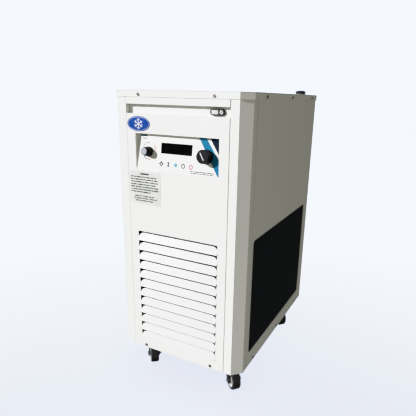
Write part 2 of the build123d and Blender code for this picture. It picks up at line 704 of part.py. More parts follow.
with BuildPart() as tank_insulation:
    with BuildSketch(level(TZ0 - 14)):
        with Locations((tcx - 1, tcy)):
            RectangleRounded(TX1 - TX0 + 26, TY1 - TY0 + 26, 20)
    extrude(amount=TZ1 - TZ0 + 8)
    with BuildSketch(level(TZ0 - 0.1)):
        with Locations((tcx, tcy)):
            RectangleRounded(TX1 - TX0 + 0.2, TY1 - TY0 + 0.2, 14.1)
    extrude(amount=TZ1 - TZ0 + 20, mode=Mode.SUBTRACT)
save(tank_insulation.part, "tank_insulation")

# filler neck: tube from the tank through the lid, with a flange on the lid
with BuildPart() as filler_neck:
    with BuildSketch(level(TZ1 - 6)):
        with Locations((NECK_X, y(NECK_Y))):
            Circle(11)
    extrude(amount=CASE_H + LIP - TZ1 + 8.5)
    with BuildSketch(level(TZ1)):
        with Locations((NECK_X, y(NECK_Y))):
            Circle(15)
    extrude(amount=2)
    with BuildSketch(level(CASE_H + LIP - 0.3)):
        with Locations((NECK_X, y(NECK_Y))):
            Circle(15)
    extrude(amount=2.8)
    with BuildSketch(level(TZ1 - 7)):
        with Locations((NECK_X, y(NECK_Y))):
            Circle(9.2)
    extrude(amount=90, mode=Mode.SUBTRACT)
save(filler_neck.part, "filler_neck")

CAP_Z = CASE_H + LIP + 2.85
with BuildPart() as filler_cap:
    with BuildSketch(level(CAP_Z)):
        with Locations((NECK_X, y(NECK_Y))):
            Circle(14.2)
            with PolarLocations(14.8, 18):
                Circle(1.3, mode=Mode.SUBTRACT)
    extrude(amount=7)
    with BuildSketch(level(CAP_Z + 7)):
        with Locations((NECK_X, y(NECK_Y))):
            Circle(9)
    extrude(amount=1.6, taper=20)
    with BuildSketch(level(CAP_Z)):
        with Locations((NECK_X, y(NECK_Y))):
            Circle(8.9)
    extrude(amount=-14)
save(filler_cap.part, "filler_cap")

# evaporator: copper tube folded into five upright runs inside the tank
ev = []
ex0, ez0, ez1 = -14.0, TZ0 + 18, TZ1 - 40
with BuildPart() as evaporator_coil:
    with BuildLine() as evap_path:
        pts = [(-14, y(330), z(TZ1 + 22)), (-14, y(330), z(ez0))]
        yy = 330
        for k in range(4):
            nxt = yy + 30.5
            h = ez0 if k % 2 == 0 else ez1
            pts.append((-14, y(nxt), z(h)))
            if k < 3:
                pts.append((-14, y(nxt), z(ez1 if k % 2 == 0 else ez0)))
            yy = nxt
        pts.append((-14, y(452), z(TZ1 + 22)))
        FilletPolyline(*pts, radius=12)
    with BuildSketch(Plane(origin=pts[0], z_dir=(0, 0, -1))):
        Circle(4.0)
    sweep(path=evap_path.wires()[0])
save(evaporator_coil.part, "evaporator_coil")

with BuildPart() as temperature_probe:
    with BuildSketch(level(TZ1 + 14)):
        with Locations((30, y(330))):
            Circle(3.0)
    extrude(amount=-110)
    with BuildSketch(level(TZ1 + 0.05)):
        with Locations((30, y(330))):
            RegularPolygon(8, 6)
    extrude(amount=12)
save(temperature_probe.part, "temperature_probe")

# ----------------------------------------------------- pump, pipes and nozzles
PX, PY, PZ = 60.0, 395.0, 62.0
with BuildPart() as circulation_pump:
    with BuildSketch(side(PX - 40)):
        with Locations((y(PY), z(PZ))):
            Circle(36)
    extrude(amount=30)
    with BuildSketch(side(PX - 10)):
        with Locations((y(PY), z(PZ))):
            Circle(30)
            with PolarLocations(30, 24):
                Circle(1.6, mode=Mode.SUBTRACT)
    extrude(amount=84)
    with BuildSketch(level(3.5)):
        with Locations((PX + 6, y(PY))):
            Rectangle(54, 54)
    extrude(amount=4)
    with Locations((PX + 6, y(PY), z(22))):
        Box(40, 30, 30)
    with BuildSketch(level(PZ + 20)):
        with Locations((PX - 25, y(PY))):
            Circle(9)
    extrude(amount=36)
    with BuildSketch(side(PX - 40)):
        with Locations((y(PY), z(PZ))):
            Circle(9)
    extrude(amount=-16)
save(circulation_pump.part, "circulation_pump")

with BuildPart() as coolant_pipes:
    with BuildLine() as p1:   # pump to the supply nozzle
        FilletPolyline((PX - 25, y(PY), z(PZ + 56.1)), (PX - 25, y(PY), z(396)), (NOZ_X, y(PY), z(396)),
                       (NOZ_X, y(440), z(396)), (NOZ_X, y(440), z(NOZ_OUT_Z)), (NOZ_X, y(D - 9.1), z(NOZ_OUT_Z)),
                       radius=18)
    with BuildSketch(Plane(origin=(PX - 25, y(PY), z(PZ + 56.1)), z_dir=(0, 0, 1))):
        Circle(6.5)
    sweep(path=p1.wires()[0])
    with BuildLine() as p2:   # tank to the pump
        FilletPolyline((PX - 56.2, y(PY), z(PZ)), (-20, y(PY), z(PZ)), (-20, y(PY), z(370)),
                       (-20, y(430), z(370)), (-20, y(430), z(TZ0 - 14.1)), radius=13)
    with BuildSketch(Plane(origin=(PX - 56.2, y(PY), z(PZ)), z_dir=(-1, 0, 0))):
        Circle(6.5)
    sweep(path=p2.wires()[0])
    with BuildLine() as p3:   # return nozzle to the tank
        FilletPolyline((NOZ_X, y(D - 9.1), z(NOZ_IN_Z)), (NOZ_X, y(462), z(NOZ_IN_Z)), (-54.2, y(462), z(NOZ_IN_Z)), radius=16)
    with BuildSketch(Plane(origin=(NOZ_X, y(D - 9.1), z(NOZ_IN_Z)), z_dir=(0, -1, 0))):
        Circle(6.5)
    sweep(path=p3.wires()[0])
save(coolant_pipes.part, "coolant_pipes")


def hose_nozzle(px, pz, reach, back):
    """Barbed hose nozzle through the rear panel with a hexagonal collar."""
    pl = Plane(origin=(px, y(D), z(pz)), x_dir=(-1, 0, 0), z_dir=(0, 1, 0))
    with BuildSketch(pl) as s_nut:
        RegularPolygon(11.5, 6)
    extrude(s_nut.sketch, amount=6)
    with BuildSketch(pl) as s_body:
        Circle(8.0)
    extrude(s_body.sketch, amount=-back)
    with BuildSketch(pl.offset(-T)) as s_lock:
        RegularPolygon(11.5, 6)
    extrude(s_lock.sketch, amount=-5)
    with BuildSketch(pl.offset(6)) as s_stem:
        Circle(5.6)
    extrude(s_stem.sketch, amount=reach - 6)
    for k in range(4):
        with BuildSketch(pl.offset(reach - 5.4 - 5.2 * k)) as s_barb:
            Circle(6.8)
        extrude(s_barb.sketch, amount=4.2, taper=14)
    with BuildSketch(pl.offset(reach + 1)) as s_bore:
        Circle(4.0)
    extrude(s_bore.sketch, amount=-reach - back - 2, mode=Mode.SUBTRACT)


# supply nozzle below, return nozzle above: two identical fittings
with BuildPart() as hose_nozzles:
    hose_nozzle(NOZ_X, NOZ_OUT_Z, REAR_OUT, 9)
    hose_nozzle(NOZ_X, NOZ_IN_Z, REAR_OUT, 9)
save(hose_nozzles.part, "hose_nozzles")

# drain: small ball valve with a nozzle below and a lever on top
with BuildPart() as drain_valve:
    pl = Plane(origin=(DRAIN_X, y(D), z(DRAIN_Z)), x_dir=(-1, 0, 0), z_dir=(0, 1, 0))
    with BuildSketch(pl.offset(-14)):
        Circle(8.0)
    extrude(amount=24)
    with BuildSketch(pl):
        RegularPolygon(11, 6)
    extrude(amount=5)
    with BuildSketch(pl.offset(-T)):
        RegularPolygon(11, 6)
    extrude(amount=-5)
    with Locations((DRAIN_X, y(D + 18), z(DRAIN_Z))):
        Cylinder(9, 22)
        Box(16, 16, 18)
    with BuildSketch(Plane.XY.offset(z(DRAIN_Z - 9))):
        with Locations((DRAIN_X, y(D + 18))):
            Circle(5.5)
    extrude(amount=-18)
    with BuildSketch(Plane.XY.offset(z(DRAIN_Z + 11))):
        with Locations((DRAIN_X, y(D + 18))):
            Circle(3.0)
    extrude(amount=5)
    with BuildSketch(Plane.XY.offset(z(DRAIN_Z - 28))):
        with Locations((DRAIN_X, y(D + 18))):
            Circle(3.6)
    extrude(amount=24, mode=Mode.SUBTRACT)
save(drain_valve.part, "drain_valve")
with BuildPart() as drain_lever:
    with BuildSketch(Plane.XY.offset(z(DRAIN_Z + 11.3))):
        with Locations((DRAIN_X, y(D + 18))):
            Circle(6.5)
        with Locations((DRAIN_X + 17, y(D + 18))):
            SlotOverall(38, 8)
    extrude(amount=4)
    with BuildSketch(Plane.XY.offset(z(DRAIN_Z + 11))):
        with Locations((DRAIN_X, y(D + 18))):
            Circle(3.06)
    extrude(amount=6, mode=Mode.SUBTRACT)
save(drain_lever.part, "drain_lever")

# ---------------------------------------------------------- refrigerant parts
CX, CY = -82.0, 330.0
with BuildPart() as compressor:
    with BuildSketch(level(22)):
        with Locations((CX, y(CY))):
            Circle(70)
    extrude(amount=88)
    fillet(compressor.faces().sort_by(Axis.Z)[0].edges(), 14)
    with BuildSketch(level(108)):
        with Locations((CX, y(CY))):
            Circle(74)
    extrude(amount=5)
    with BuildSketch(level(112)):
        with Locations((CX, y(CY))):
            Circle(70)
    extrude(amount=78)
    fillet(compressor.faces().sort_by(Axis.Z)[-1].edges(), 30)
    with BuildSketch(level(14)):
        with Locations((CX, y(CY))):
            RectangleRounded(150, 118, 10)
            with GridLocations(128, 96, 2, 2):
                Circle(5.2, mode=Mode.SUBTRACT)
    extrude(amount=3)
    with Locations((CX, y(CY), z(20))):
        Cylinder(40, 12)
    with Locations((CX + 66, y(CY), z(130))):
        Box(30, 44, 52)
save(compressor.part, "compressor")
with BuildPart() as compressor_mounts:
    for mx in (-64, 64):
        for my in (-48, 48):
            with BuildSketch(level(3.5)):
                with Locations((CX + mx, y(CY) + my)):
                    Circle(9)
            extrude(amount=10.5)
            with BuildSketch(level(14)):
                with Locations((CX + mx, y(CY) + my)):
                    Circle(5.1)
            extrude(amount=5)
save(compressor_mounts.part, "compressor_mounts")

with BuildPart() as condenser_coil:
    with Locations((0, y(52), z(164))):
        Box(226, 38, 262)
    with Locations((0, y(52), z(164))):
        with GridLocations(5, 1, 43, 1):
            Box(2.6, 50, 250, mode=Mode.SUBTRACT)
    with Locations((0, y(52), z(164))):
        Box(218, 34, 250)
    for k in range(5):
        for sx in (-1, 1):
            with Locations((sx * 113, y(52), z(60 + k * 52 + (13 if sx > 0 else 0)))):
                Torus(9, 3.6, rotation=(90, 0, 0))
save(condenser_coil.part, "condenser_coil")

FZ = 166.0
with BuildPart() as fan_shroud:
    with BuildSketch(front(74)):
        with Locations((0, z(FZ))):
            Rectangle(240, 270)
            Circle(107, mode=Mode.SUBTRACT)
    extrude(amount=-1.5)
    with BuildSketch(front(74)):
        with Locations((0, z(FZ))):
            Circle(108.5)
            Circle(107, mode=Mode.SUBTRACT)
    extrude(amount=-30)
    for ang in (45, 135):
        with Locations(Location((0, y(103), z(FZ)), (0, ang, 0))):
            Box(216, 2.5, 12)
    with BuildSketch(front(100)):
        with Locations((0, z(FZ))):
            Circle(5.0)
    extrude(amount=-6, mode=Mode.SUBTRACT)
    with Locations((-84, y(85), z(20)), (84, y(85), z(20))):
        Box(20, 22, 33.0)
save(fan_shroud.part, "fan_shroud")
with BuildPart() as fan_motor:
    with BuildSketch(front(104.3)):
        with Locations((0, z(FZ))):
            Circle(37)
    extrude(amount=-46)
    fillet(fan_motor.faces().sort_by(Axis.Y)[-1].edges(), 6)
    with BuildSketch(front(104)):
        with Locations((0, z(FZ))):
            Circle(4.06)
    extrude(amount=-14, mode=Mode.SUBTRACT)
save(fan_motor.part, "fan_motor")
# five-blade fan on a stub shaft that turns in the motor's arms
with BuildPart() as fan_blade:
    with BuildSketch(front(80)):
        with Locations((0, z(FZ))):
            Circle(26)
    extrude(amount=-19)
    with BuildSketch(front(98)):
        with Locations((0, z(FZ))):
            Circle(4.0)
    extrude(amount=-18)
    for k in range(5):
        with Locations(Location((0, y(89.5), z(FZ)), (0, 72 * k, 0))):
            with Locations(Location((61, 0, 0), (28, 0, 0))):
                Box(82, 2.2, 34)
save(fan_blade.part, "fan_blade")

with BuildPart() as filter_drier:
    with BuildSketch(Plane(origin=(100, y(250), z(60)), z_dir=(0, 1, 0))):
        Circle(13)
    extrude(amount=66)
    with BuildSketch(Plane(origin=(100, y(250), z(60)), z_dir=(0, -1, 0))):
        Circle(13)
    extrude(amount=9, taper=42)
    with BuildSketch(Plane(origin=(100, y(316), z(60)), z_dir=(0, 1, 0))):
        Circle(13)
    extrude(amount=9, taper=42)
    with Locations((100, y(283), z(25.3))):
        Box(16, 18, 43.6)
save(filter_drier.part, "filter_drier")

with BuildPart() as refrigerant_lines:
    with BuildLine() as l1:   # discharge to the condenser
        FilletPolyline((-82, y(259.8), z(150)), (-82, y(235), z(150)), (-150, y(235), z(150)),
                       (-150, y(235), z(250)), (-150, y(52), z(250)), (-124, y(52), z(250)), radius=11)
    with BuildSketch(Plane(origin=(-82, y(259.8), z(150)), z_dir=(0, -1, 0))):
        Circle(3.5)
    sweep(path=l1.wires()[0])
    with BuildLine() as l2:   # suction from the evaporator
        FilletPolyline((-14, y(452), z(TZ1 + 22.1)), (-14, y(452), z(TZ1 + 38)), (-14, y(425), z(TZ1 + 38)),
                       (-70, y(425), z(TZ1 + 38)), (-70, y(425), z(340)), (-110, y(425), z(340)),
                       (-110, y(345), z(340)), (-110, y(345), z(190.1)), radius=11)
    with BuildSketch(Plane(origin=(-14, y(452), z(TZ1 + 22.1)), z_dir=(0, 0, 1))):
        Circle(4.0)
    sweep(path=l2.wires()[0])
    with BuildLine() as l3:   # liquid line: condenser to drier
        FilletPolyline((124, y(52), z(60)), (150, y(52), z(60)), (150, y(215), z(60)),
                       (100, y(215), z(60)), (100, y(240.9), z(60)), radius=11)
    with BuildSketch(Plane(origin=(124, y(52), z(60)), z_dir=(1, 0, 0))):
        Circle(3.0)
    sweep(path=l3.wires()[0])
save(refrigerant_lines.part, "refrigerant_lines")

# ------------------------------------------------------------ electrical parts
with BuildPart() as electrical_box:
    with Locations((-110, y(190), z(500))):
        Box(110, 180, 150)
    with Locations((-109, y(190), z(501))):
        Box(108, 177, 148.5, mode=Mode.SUBTRACT)
save(electrical_box.part, "electrical_box")

with BuildPart() as power_inlet:
    pl = Plane(origin=(INLET_X, y(D), z(INLET_Z)), x_dir=(-1, 0, 0), z_dir=(0, 1, 0))
    with BuildSketch(pl):
        RectangleRounded(48, 26, 6)
    extrude(amount=3)
    with BuildSketch(pl):
        Rectangle(28, 21)
    extrude(amount=-20)
    with BuildSketch(pl.offset(3)):
        RectangleRounded(24, 16.5, 3)
    extrude(amount=-17, mode=Mode.SUBTRACT)
    with BuildSketch(pl.offset(-14)):
        with Locations((-7, -1.5), (0, 1.5), (7, -1.5)):
            Rectangle(2, 4)
    extrude(amount=12)
save(power_inlet.part, "power_inlet")
with BuildPart() as power_switch:
    pl = Plane(origin=(INLET_X, y(D), z(SWITCH_Z)), x_dir=(-1, 0, 0), z_dir=(0, 1, 0))
    with BuildSketch(pl):
        Rectangle(26, 17)
    extrude(amount=2)
    with BuildSketch(pl):
        Rectangle(22, 13)
    extrude(amount=-18)
    with BuildSketch(pl.offset(2)):
        Rectangle(19.6, 10.6)
    extrude(amount=-14, mode=Mode.SUBTRACT)
    with BuildSketch(side(INLET_X - 10.6)):
        with Locations((y(D - 1), z(SWITCH_Z))):
            Circle(1.56)
    extrude(amount=21.2, mode=Mode.SUBTRACT)
save(power_switch.part, "power_switch")
with BuildPart() as power_rocker:
    with BuildSketch(side(INLET_X - 9.4)):
        with BuildLine():
            Polyline((y(D - 2.5), z(SWITCH_Z - 4.6)), (y(D + 2.2), z(SWITCH_Z - 4.4)), (y(D + 1.4), z(SWITCH_Z)),
                     (y(D + 4.6), z(SWITCH_Z + 4.0)), (y(D - 2.0), z(SWITCH_Z + 4.6)),
                     (y(D - 6.5), z(SWITCH_Z)), close=True)
        make_face()
    extrude(amount=18.8)
    # pivot stubs in the switch's side walls
    with BuildSketch(side(INLET_X - 10.4)):
        with Locations((y(D - 1), z(SWITCH_Z))):
            Circle(1.5)
    extrude(amount=20.8)
save(power_rocker.part, "power_rocker")
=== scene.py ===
"""Looks of a floor-standing recirculating chiller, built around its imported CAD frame.

World: metres, +Z up, front towards -Y, right side towards +X, floor at z = 0.
Lengths in this script are millimetres unless a name ends in _m.
"""
import json
from math import sin, cos, tan, radians, degrees, pi, sqrt, atan2, hypot

import bmesh
import bpy
from mathutils import Matrix, Vector

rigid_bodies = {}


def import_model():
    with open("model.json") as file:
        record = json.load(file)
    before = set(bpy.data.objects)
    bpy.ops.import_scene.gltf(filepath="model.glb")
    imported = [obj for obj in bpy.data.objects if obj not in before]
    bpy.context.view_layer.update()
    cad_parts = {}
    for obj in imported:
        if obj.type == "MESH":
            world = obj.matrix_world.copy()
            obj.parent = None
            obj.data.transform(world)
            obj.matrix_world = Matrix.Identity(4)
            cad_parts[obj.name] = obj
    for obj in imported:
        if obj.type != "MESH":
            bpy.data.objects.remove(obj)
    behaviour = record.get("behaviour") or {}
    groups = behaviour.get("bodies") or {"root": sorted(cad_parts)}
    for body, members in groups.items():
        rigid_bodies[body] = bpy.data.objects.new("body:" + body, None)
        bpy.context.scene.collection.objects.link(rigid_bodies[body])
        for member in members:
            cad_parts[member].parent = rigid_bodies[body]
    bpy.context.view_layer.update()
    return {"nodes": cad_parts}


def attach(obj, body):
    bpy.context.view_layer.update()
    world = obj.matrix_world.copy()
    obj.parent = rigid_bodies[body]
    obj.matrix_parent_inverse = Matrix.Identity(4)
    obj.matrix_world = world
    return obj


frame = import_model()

nodes = frame["nodes"]

# ------------------------------------------------------------------ dimensions
W, D, ZB, HW = 350.0, 498.0, 72.0, 175.0
PROUD = 0.35            # side panels stand out over the front posts
YF = -258.1
T = 1.2
WIN_Z0, WIN_D, WIN_RISE = 480.0, 11.2, 82.8
LEAN = atan2(WIN_D, WIN_RISE)
N = Vector((0, -cos(LEAN), sin(LEAN)))
KNOB_X, KNOB_Z = 76.0, 521.5


def at(x, depth, height):
    """Point in metres from x, depth behind the front plane and height above the cabinet's underside."""
    return Vector((x / 1000, (YF + depth) / 1000, (ZB + height) / 1000))


def on_face(x, height, lift=0.0):
    """Point in metres on the sloping control face."""
    f = (height - WIN_Z0) / WIN_RISE
    return at(x, 1.3 + f * WIN_D, height) + N * (lift / 1000)


# ------------------------------------------------------------ mesh construction
def new_object(name, bm, material, body, smooth=None):
    bmesh.ops.recalc_face_normals(bm, faces=bm.faces)
    me = bpy.data.meshes.new(name)
    bm.to_mesh(me)
    bm.free()
    ob = bpy.data.objects.new(name, me)
    bpy.context.scene.collection.objects.link(ob)
    mats = material if isinstance(material, (list, tuple)) else [material]
    for m in mats:
        me.materials.append(m)
    if smooth is not None:
        for p in me.polygons:
            p.use_smooth = True
        try:
            me.set_sharp_from_angle(angle=radians(smooth))
        except AttributeError:
            pass
    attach(ob, body)
    return ob


def prism(bm, loops, place, lo, hi, mat=0):
    """Closed prism of one outline, or of a ring between two outlines of equal length."""
    outer = loops[0]
    n = len(outer)
    a = [bm.verts.new(place(u, v, hi)) for u, v in outer]
    b = [bm.verts.new(place(u, v, lo)) for u, v in outer]
    made = []
    for i in range(n):
        j = (i + 1) % n
        made.append(bm.faces.new((a[i], a[j], b[j], b[i])))
    if len(loops) == 1:
        made.append(bm.faces.new(a))
        made.append(bm.faces.new(b[::-1]))
    else:
        inner = loops[1]
        c = [bm.verts.new(place(u, v, hi)) for u, v in inner]
        d = [bm.verts.new(place(u, v, lo)) for u, v in inner]
        for i in range(n):
            j = (i + 1) % n
            made.append(bm.faces.new((a[i], c[i], c[j], a[j])))
            made.append(bm.faces.new((b[i], b[j], d[j], d[i])))
            made.append(bm.faces.new((c[i], d[i], d[j], c[j])))
    for f in made:
        f.material_index = mat


def circle(cu, cv, r, n=48, a0=0.0):
    return [(cu + r * cos(a0 + 2 * pi * i / n), cv + r * sin(a0 + 2 * pi * i / n)) for i in range(n)]


def arc_band(cu, cv, r, w, a0, a1, n=24):
    """Outline of a curved band between two angles in degrees."""
    out = []
    for i in range(n + 1):
        a = radians(a0 + (a1 - a0) * i / n)
        out.append((cu + (r + w / 2) * cos(a), cv + (r + w / 2) * sin(a)))
    for i in range(n + 1):
        a = radians(a1 + (a0 - a1) * i / n)
        out.append((cu + (r - w / 2) * cos(a), cv + (r - w / 2) * sin(a)))
    return out


def bar(u0, v0, u1, v1, w):
    """Outline of a straight bar of width w from one point to another."""
    d = hypot(u1 - u0, v1 - v0)
    nu, nv = -(v1 - v0) / d * w / 2, (u1 - u0) / d * w / 2
    return [(u0 + nu, v0 + nv), (u0 - nu, v0 - nv), (u1 - nu, v1 - nv), (u1 + nu, v1 + nv)]


def rounded(cu, cv, w, h, r, n=6):
    out = []
    for sx, sy, a0 in ((1, 1, 0), (-1, 1, 90), (-1, -1, 180), (1, -1, 270)):
        for i in range(n + 1):
            a = radians(a0 + 90 * i / n)
            out.append((cu + sx * (w / 2 - r) + r * cos(a), cv + sy * (h / 2 - r) + r * sin(a)))
    return out


# -------------------------------------------------------------------- materials
class Mat:
    """A node material with a few helpers."""

    def __init__(self, name, color, rough, metallic=0.0, specular=0.5, coat=0.0, coat_rough=0.1):
        self.m = bpy.data.materials.new(name)
        self.m.use_nodes = True
        self.n = self.m.node_tree.nodes
        self.l = self.m.node_tree.links
        self.b = self.n["Principled BSDF"]
        self.b.inputs["Base Color"].default_value = (*color, 1)
        self.b.inputs["Roughness"].default_value = rough
        self.b.inputs["Metallic"].default_value = metallic
        self.b.inputs["Specular IOR Level"].default_value = specular
        if coat:
            self.b.inputs["Coat Weight"].default_value = coat
            self.b.inputs["Coat Roughness"].default_value = coat_rough
        self.color = color
        self.rough = rough
        self.coord = self.n.new("ShaderNodeTexCoord").outputs["Object"]

    def link(self, a, b):
        self.l.new(a, b)

    def noise(self, scale, detail=4.0, rough=0.5, stretch=None, distortion=0.0):
        t = self.n.new("ShaderNodeTexNoise")
        t.inputs["Scale"].default_value = scale
        t.inputs["Detail"].default_value = detail
        t.inputs["Roughness"].default_value = rough
        t.inputs["Distortion"].default_value = distortion
        src = self.coord
        if stretch:
            mp = self.n.new("ShaderNodeMapping")
            mp.inputs["Scale"].default_value = stretch
            self.link(src, mp.inputs["Vector"])
            src = mp.outputs["Vector"]
        self.link(src, t.inputs["Vector"])
        return t.outputs["Fac"]

    def ramp(self, fac, stops):
        r = self.n.new("ShaderNodeValToRGB")
        el = r.color_ramp.elements
        while len(el) < len(stops):
            el.new(0.5)
        for e, (p, c) in zip(el, stops):
            e.position = p
            e.color = (*c, 1) if not isinstance(c, (int, float)) else (c, c, c, 1)
        self.link(fac, r.inputs["Fac"])
        return r.outputs["Color"]

    def range(self, fac, a, b, lo=0.35, hi=0.65):
        r = self.n.new("ShaderNodeMapRange")
        r.inputs["From Min"].default_value = lo
        r.inputs["From Max"].default_value = hi
        r.inputs["To Min"].default_value = a
        r.inputs["To Max"].default_value = b
        self.link(fac, r.inputs["Value"])
        return r.outputs["Result"]

    def math(self, op, a, b=None, c=None):
        m = self.n.new("ShaderNodeMath")
        m.operation = op
        for i, v in enumerate((a, b, c)):
            if v is None:
                continue
            if isinstance(v, (int, float)):
                m.inputs[i].default_value = v
            else:
                self.link(v, m.inputs[i])
        return m.outputs[0]

    def mix(self, fac, a, b):
        m = self.n.new("ShaderNodeMix")
        m.data_type = "RGBA"
        for sock, v in (("Factor", fac), ("A", a), ("B", b)):
            s = [i for i in m.inputs if i.name == sock and i.type == ("VALUE" if sock == "Factor" else "RGBA")][0]
            if isinstance(v, (int, float)):
                s.default_value = v
            elif isinstance(v, (tuple, list)):
                s.default_value = (*v, 1)
            else:
                self.link(v, s)
        return [o for o in m.outputs if o.type == "RGBA"][0]

    def bump(self, height, strength, distance, normal=None):
        b = self.n.new("ShaderNodeBump")
        b.inputs["Strength"].default_value = strength
        b.inputs["Distance"].default_value = distance
        self.link(height, b.inputs["Height"])
        if normal is not None:
            self.link(normal, b.inputs["Normal"])
        return b.outputs["Normal"]

    def bevel(self, radius, samples=4):
        b = self.n.new("ShaderNodeBevel")
        b.samples = samples
        b.inputs["Radius"].default_value = radius
        return b.outputs["Normal"]

    def set(self, **kw):
        for k, v in kw.items():
            self.link(v, self.b.inputs[k.replace("_", " ")])
        return self

    def sep(self):
        s = self.n.new("ShaderNodeSeparateXYZ")
        self.link(self.coord, s.inputs[0])
        return s.outputs

    def vec(self, op, a, b=None):
        m = self.n.new("ShaderNodeVectorMath")
        m.operation = op
        for i, v in enumerate((a, b)):
            if v is None:
                continue
            if isinstance(v, (tuple, list, Vector)):
                m.inputs[i].default_value = tuple(v)
            else:
                self.link(v, m.inputs[i])
        return m.outputs["Value"] if op in ("DOT_PRODUCT", "LENGTH", "DISTANCE") else m.outputs["Vector"]


def tint(c, k):
    return tuple(min(1.0, x * k) for x in c)


def painted(name, color, rough=0.42, peel=0.10, bevel=0.0007):
    """Powder-coated sheet: faint cloudiness, orange peel, rounded folds, a trace of dust."""
    m = Mat(name, color, rough, specular=0.45)
    cloud = m.noise(3.2, 3, 0.55)
    fine = m.noise(220, 3, 0.6)
    c = m.ramp(cloud, [(0.30, tint(color, 0.985)), (0.72, tint(color, 1.012))])
    dirt = m.range(m.noise(26, 5, 0.62), 0.0, 0.05, 0.56, 0.80)
    c = m.mix(dirt, c, tint(color, 0.80))
    m.set(Base_Color=c, Roughness=m.range(fine, rough - 0.05, rough + 0.07))
    peel_n = m.noise(650, 2, 0.5)
    m.set(Normal=m.bump(peel_n, peel, 0.00012, m.bevel(bevel)))
    return m.m


def plastic(name, color, rough=0.5, grain=420, bump=0.12, bevel=0.0004, specular=0.5, coat=0.0):
    """Moulded plastic: fine spark-eroded grain and slight tone changes."""
    m = Mat(name, color, rough, specular=specular, coat=coat)
    cloud = m.noise(30, 4, 0.5)
    m.set(Base_Color=m.ramp(cloud, [(0.32, tint(color, 0.88)), (0.70, tint(color, 1.10))]),
          Roughness=m.range(m.noise(160, 4, 0.6), rough - 0.06, rough + 0.08),
          Normal=m.bump(m.noise(grain * 4, 2, 0.5), bump, 0.00005, m.bevel(bevel)))
    return m.m


def metal(name, color, rough=0.3, brush=None, bevel=0.0003, spots=0.0):
    """Plated or brushed metal, with the brushing along one axis."""
    m = Mat(name, color, rough, metallic=1.0)
    cloud = m.noise(34, 4, 0.6)
    stretch = brush or (1, 1, 1)
    fine = m.noise(240, 5, 0.65, stretch=stretch)
    c = m.ramp(cloud, [(0.30, tint(color, 0.86)), (0.72, tint(color, 1.06))])
    if spots:
        c = m.mix(m.range(m.noise(300, 3, 0.7), 0.0, spots, 0.58, 0.75), c, (0.25, 0.22, 0.18))
    m.set(Base_Color=c, Roughness=m.range(fine, rough - 0.08, rough + 0.12),
          Normal=m.bump(fine, 0.10, 0.00004, m.bevel(bevel)))
    return m.m


def rubber(name, color, rough=0.75, scale=520):
    m = Mat(name, color, rough, specular=0.3)
    dust = m.range(m.noise(70, 5, 0.65), 0.0, 0.55, 0.50, 0.78)
    c = m.mix(dust, tint(color, 1.0), tint((0.17, 0.165, 0.155), 1.0))
    m.set(Base_Color=c, Roughness=m.range(m.noise(180, 4, 0.6), rough - 0.08, rough + 0.1),
          Normal=m.bump(m.noise(scale, 3, 0.6), 0.25, 0.0002, m.bevel(0.0005)))
    return m.m


WHITE = (0.800, 0.797, 0.775)
M = {}
M["paint"] = painted("cabinet_paint", WHITE)
M["tray"] = painted("tray_paint", (0.10, 0.10, 0.105), rough=0.5)
M["black_enamel"] = painted("black_enamel", (0.012, 0.012, 0.013), rough=0.28, peel=0.25)
M["knob"] = plastic("knob_black", (0.0035, 0.0036, 0.0042), 0.42, specular=0.10)
M["knob_cap"] = plastic("knob_cap_grey", (0.30, 0.33, 0.37), 0.38)
M["print_white"] = plastic("print_white", (0.80, 0.80, 0.79), 0.45, bump=0.02)
M["black_plastic"] = plastic("black_plastic", (0.009, 0.009, 0.0096), 0.46, specular=0.25)
M["net"] = plastic("net_black", (0.0150, 0.0200, 0.0250), 0.55, bevel=0.0002, specular=0.09)
M["grey_plastic"] = plastic("grey_plastic", (0.42, 0.42, 0.41), 0.5)
M["port_plastic"] = plastic("port_plastic", (0.62, 0.61, 0.57), 0.42)
M["red_plastic"] = plastic("red_plastic", (0.42, 0.022, 0.016), 0.38)
M["chrome"] = metal("chrome", (0.82, 0.82, 0.83), 0.08)
M["zinc"] = metal("zinc_plate", (0.60, 0.60, 0.58), 0.30, spots=0.12)
M["screw"] = metal("screw_nickel", (0.30, 0.29, 0.275), 0.34)
M["stainless"] = metal("stainless", (0.60, 0.60, 0.60), 0.26, brush=(6, 6, 0.6))
M["aluminium"] = metal("fin_aluminium", (0.66, 0.67, 0.68), 0.36, brush=(1, 1, 8))
M["copper"] = metal("copper_tube", (0.72, 0.36, 0.22), 0.24, spots=0.25)
M["brass"] = metal("brass", (0.66, 0.47, 0.20), 0.25, spots=0.12)
M["cast"] = painted("cast_grey", (0.16, 0.165, 0.17), rough=0.5, peel=0.6)
M["foam"] = rubber("closed_cell_foam", (0.012, 0.012, 0.012), 0.9, 900)
M["hose"] = rubber("insulated_hose", (0.016, 0.016, 0.017), 0.7)
M["mount_rubber"] = rubber("mount_rubber", (0.014, 0.014, 0.014), 0.8)
M["blue"] = plastic("badge_blue", (0.0010, 0.060, 0.33), 0.30, bump=0.02, specular=0.25, coat=0.15)
M["decal_white"] = plastic("decal_white", (0.78, 0.80, 0.80), 0.4, bump=0.02)
M["teal"] = plastic("print_teal", (0.006, 0.170, 0.310), 0.6, bump=0.02, specular=0.08)
M["navy"] = plastic("print_navy", (0.0018, 0.0085, 0.026), 0.6, bump=0.02, specular=0.06)
M["ink_black"] = plastic("ink_black", (0.005, 0.005, 0.0055), 0.6, bump=0.02, specular=0.08)
M["ink_petrol"] = plastic("ink_petrol", (0.003, 0.060, 0.090), 0.6, bump=0.02, specular=0.08)
M["ink_grey"] = plastic("ink_grey", (0.085, 0.08, 0.085), 0.6, bump=0.02, specular=0.08)
M["ink_red"] = plastic("ink_red", (0.45, 0.02, 0.04), 0.45, bump=0.02)
M["ink_pink"] = plastic("ink_pink", (0.42, 0.045, 0.10), 0.6, bump=0.02, specular=0.1)
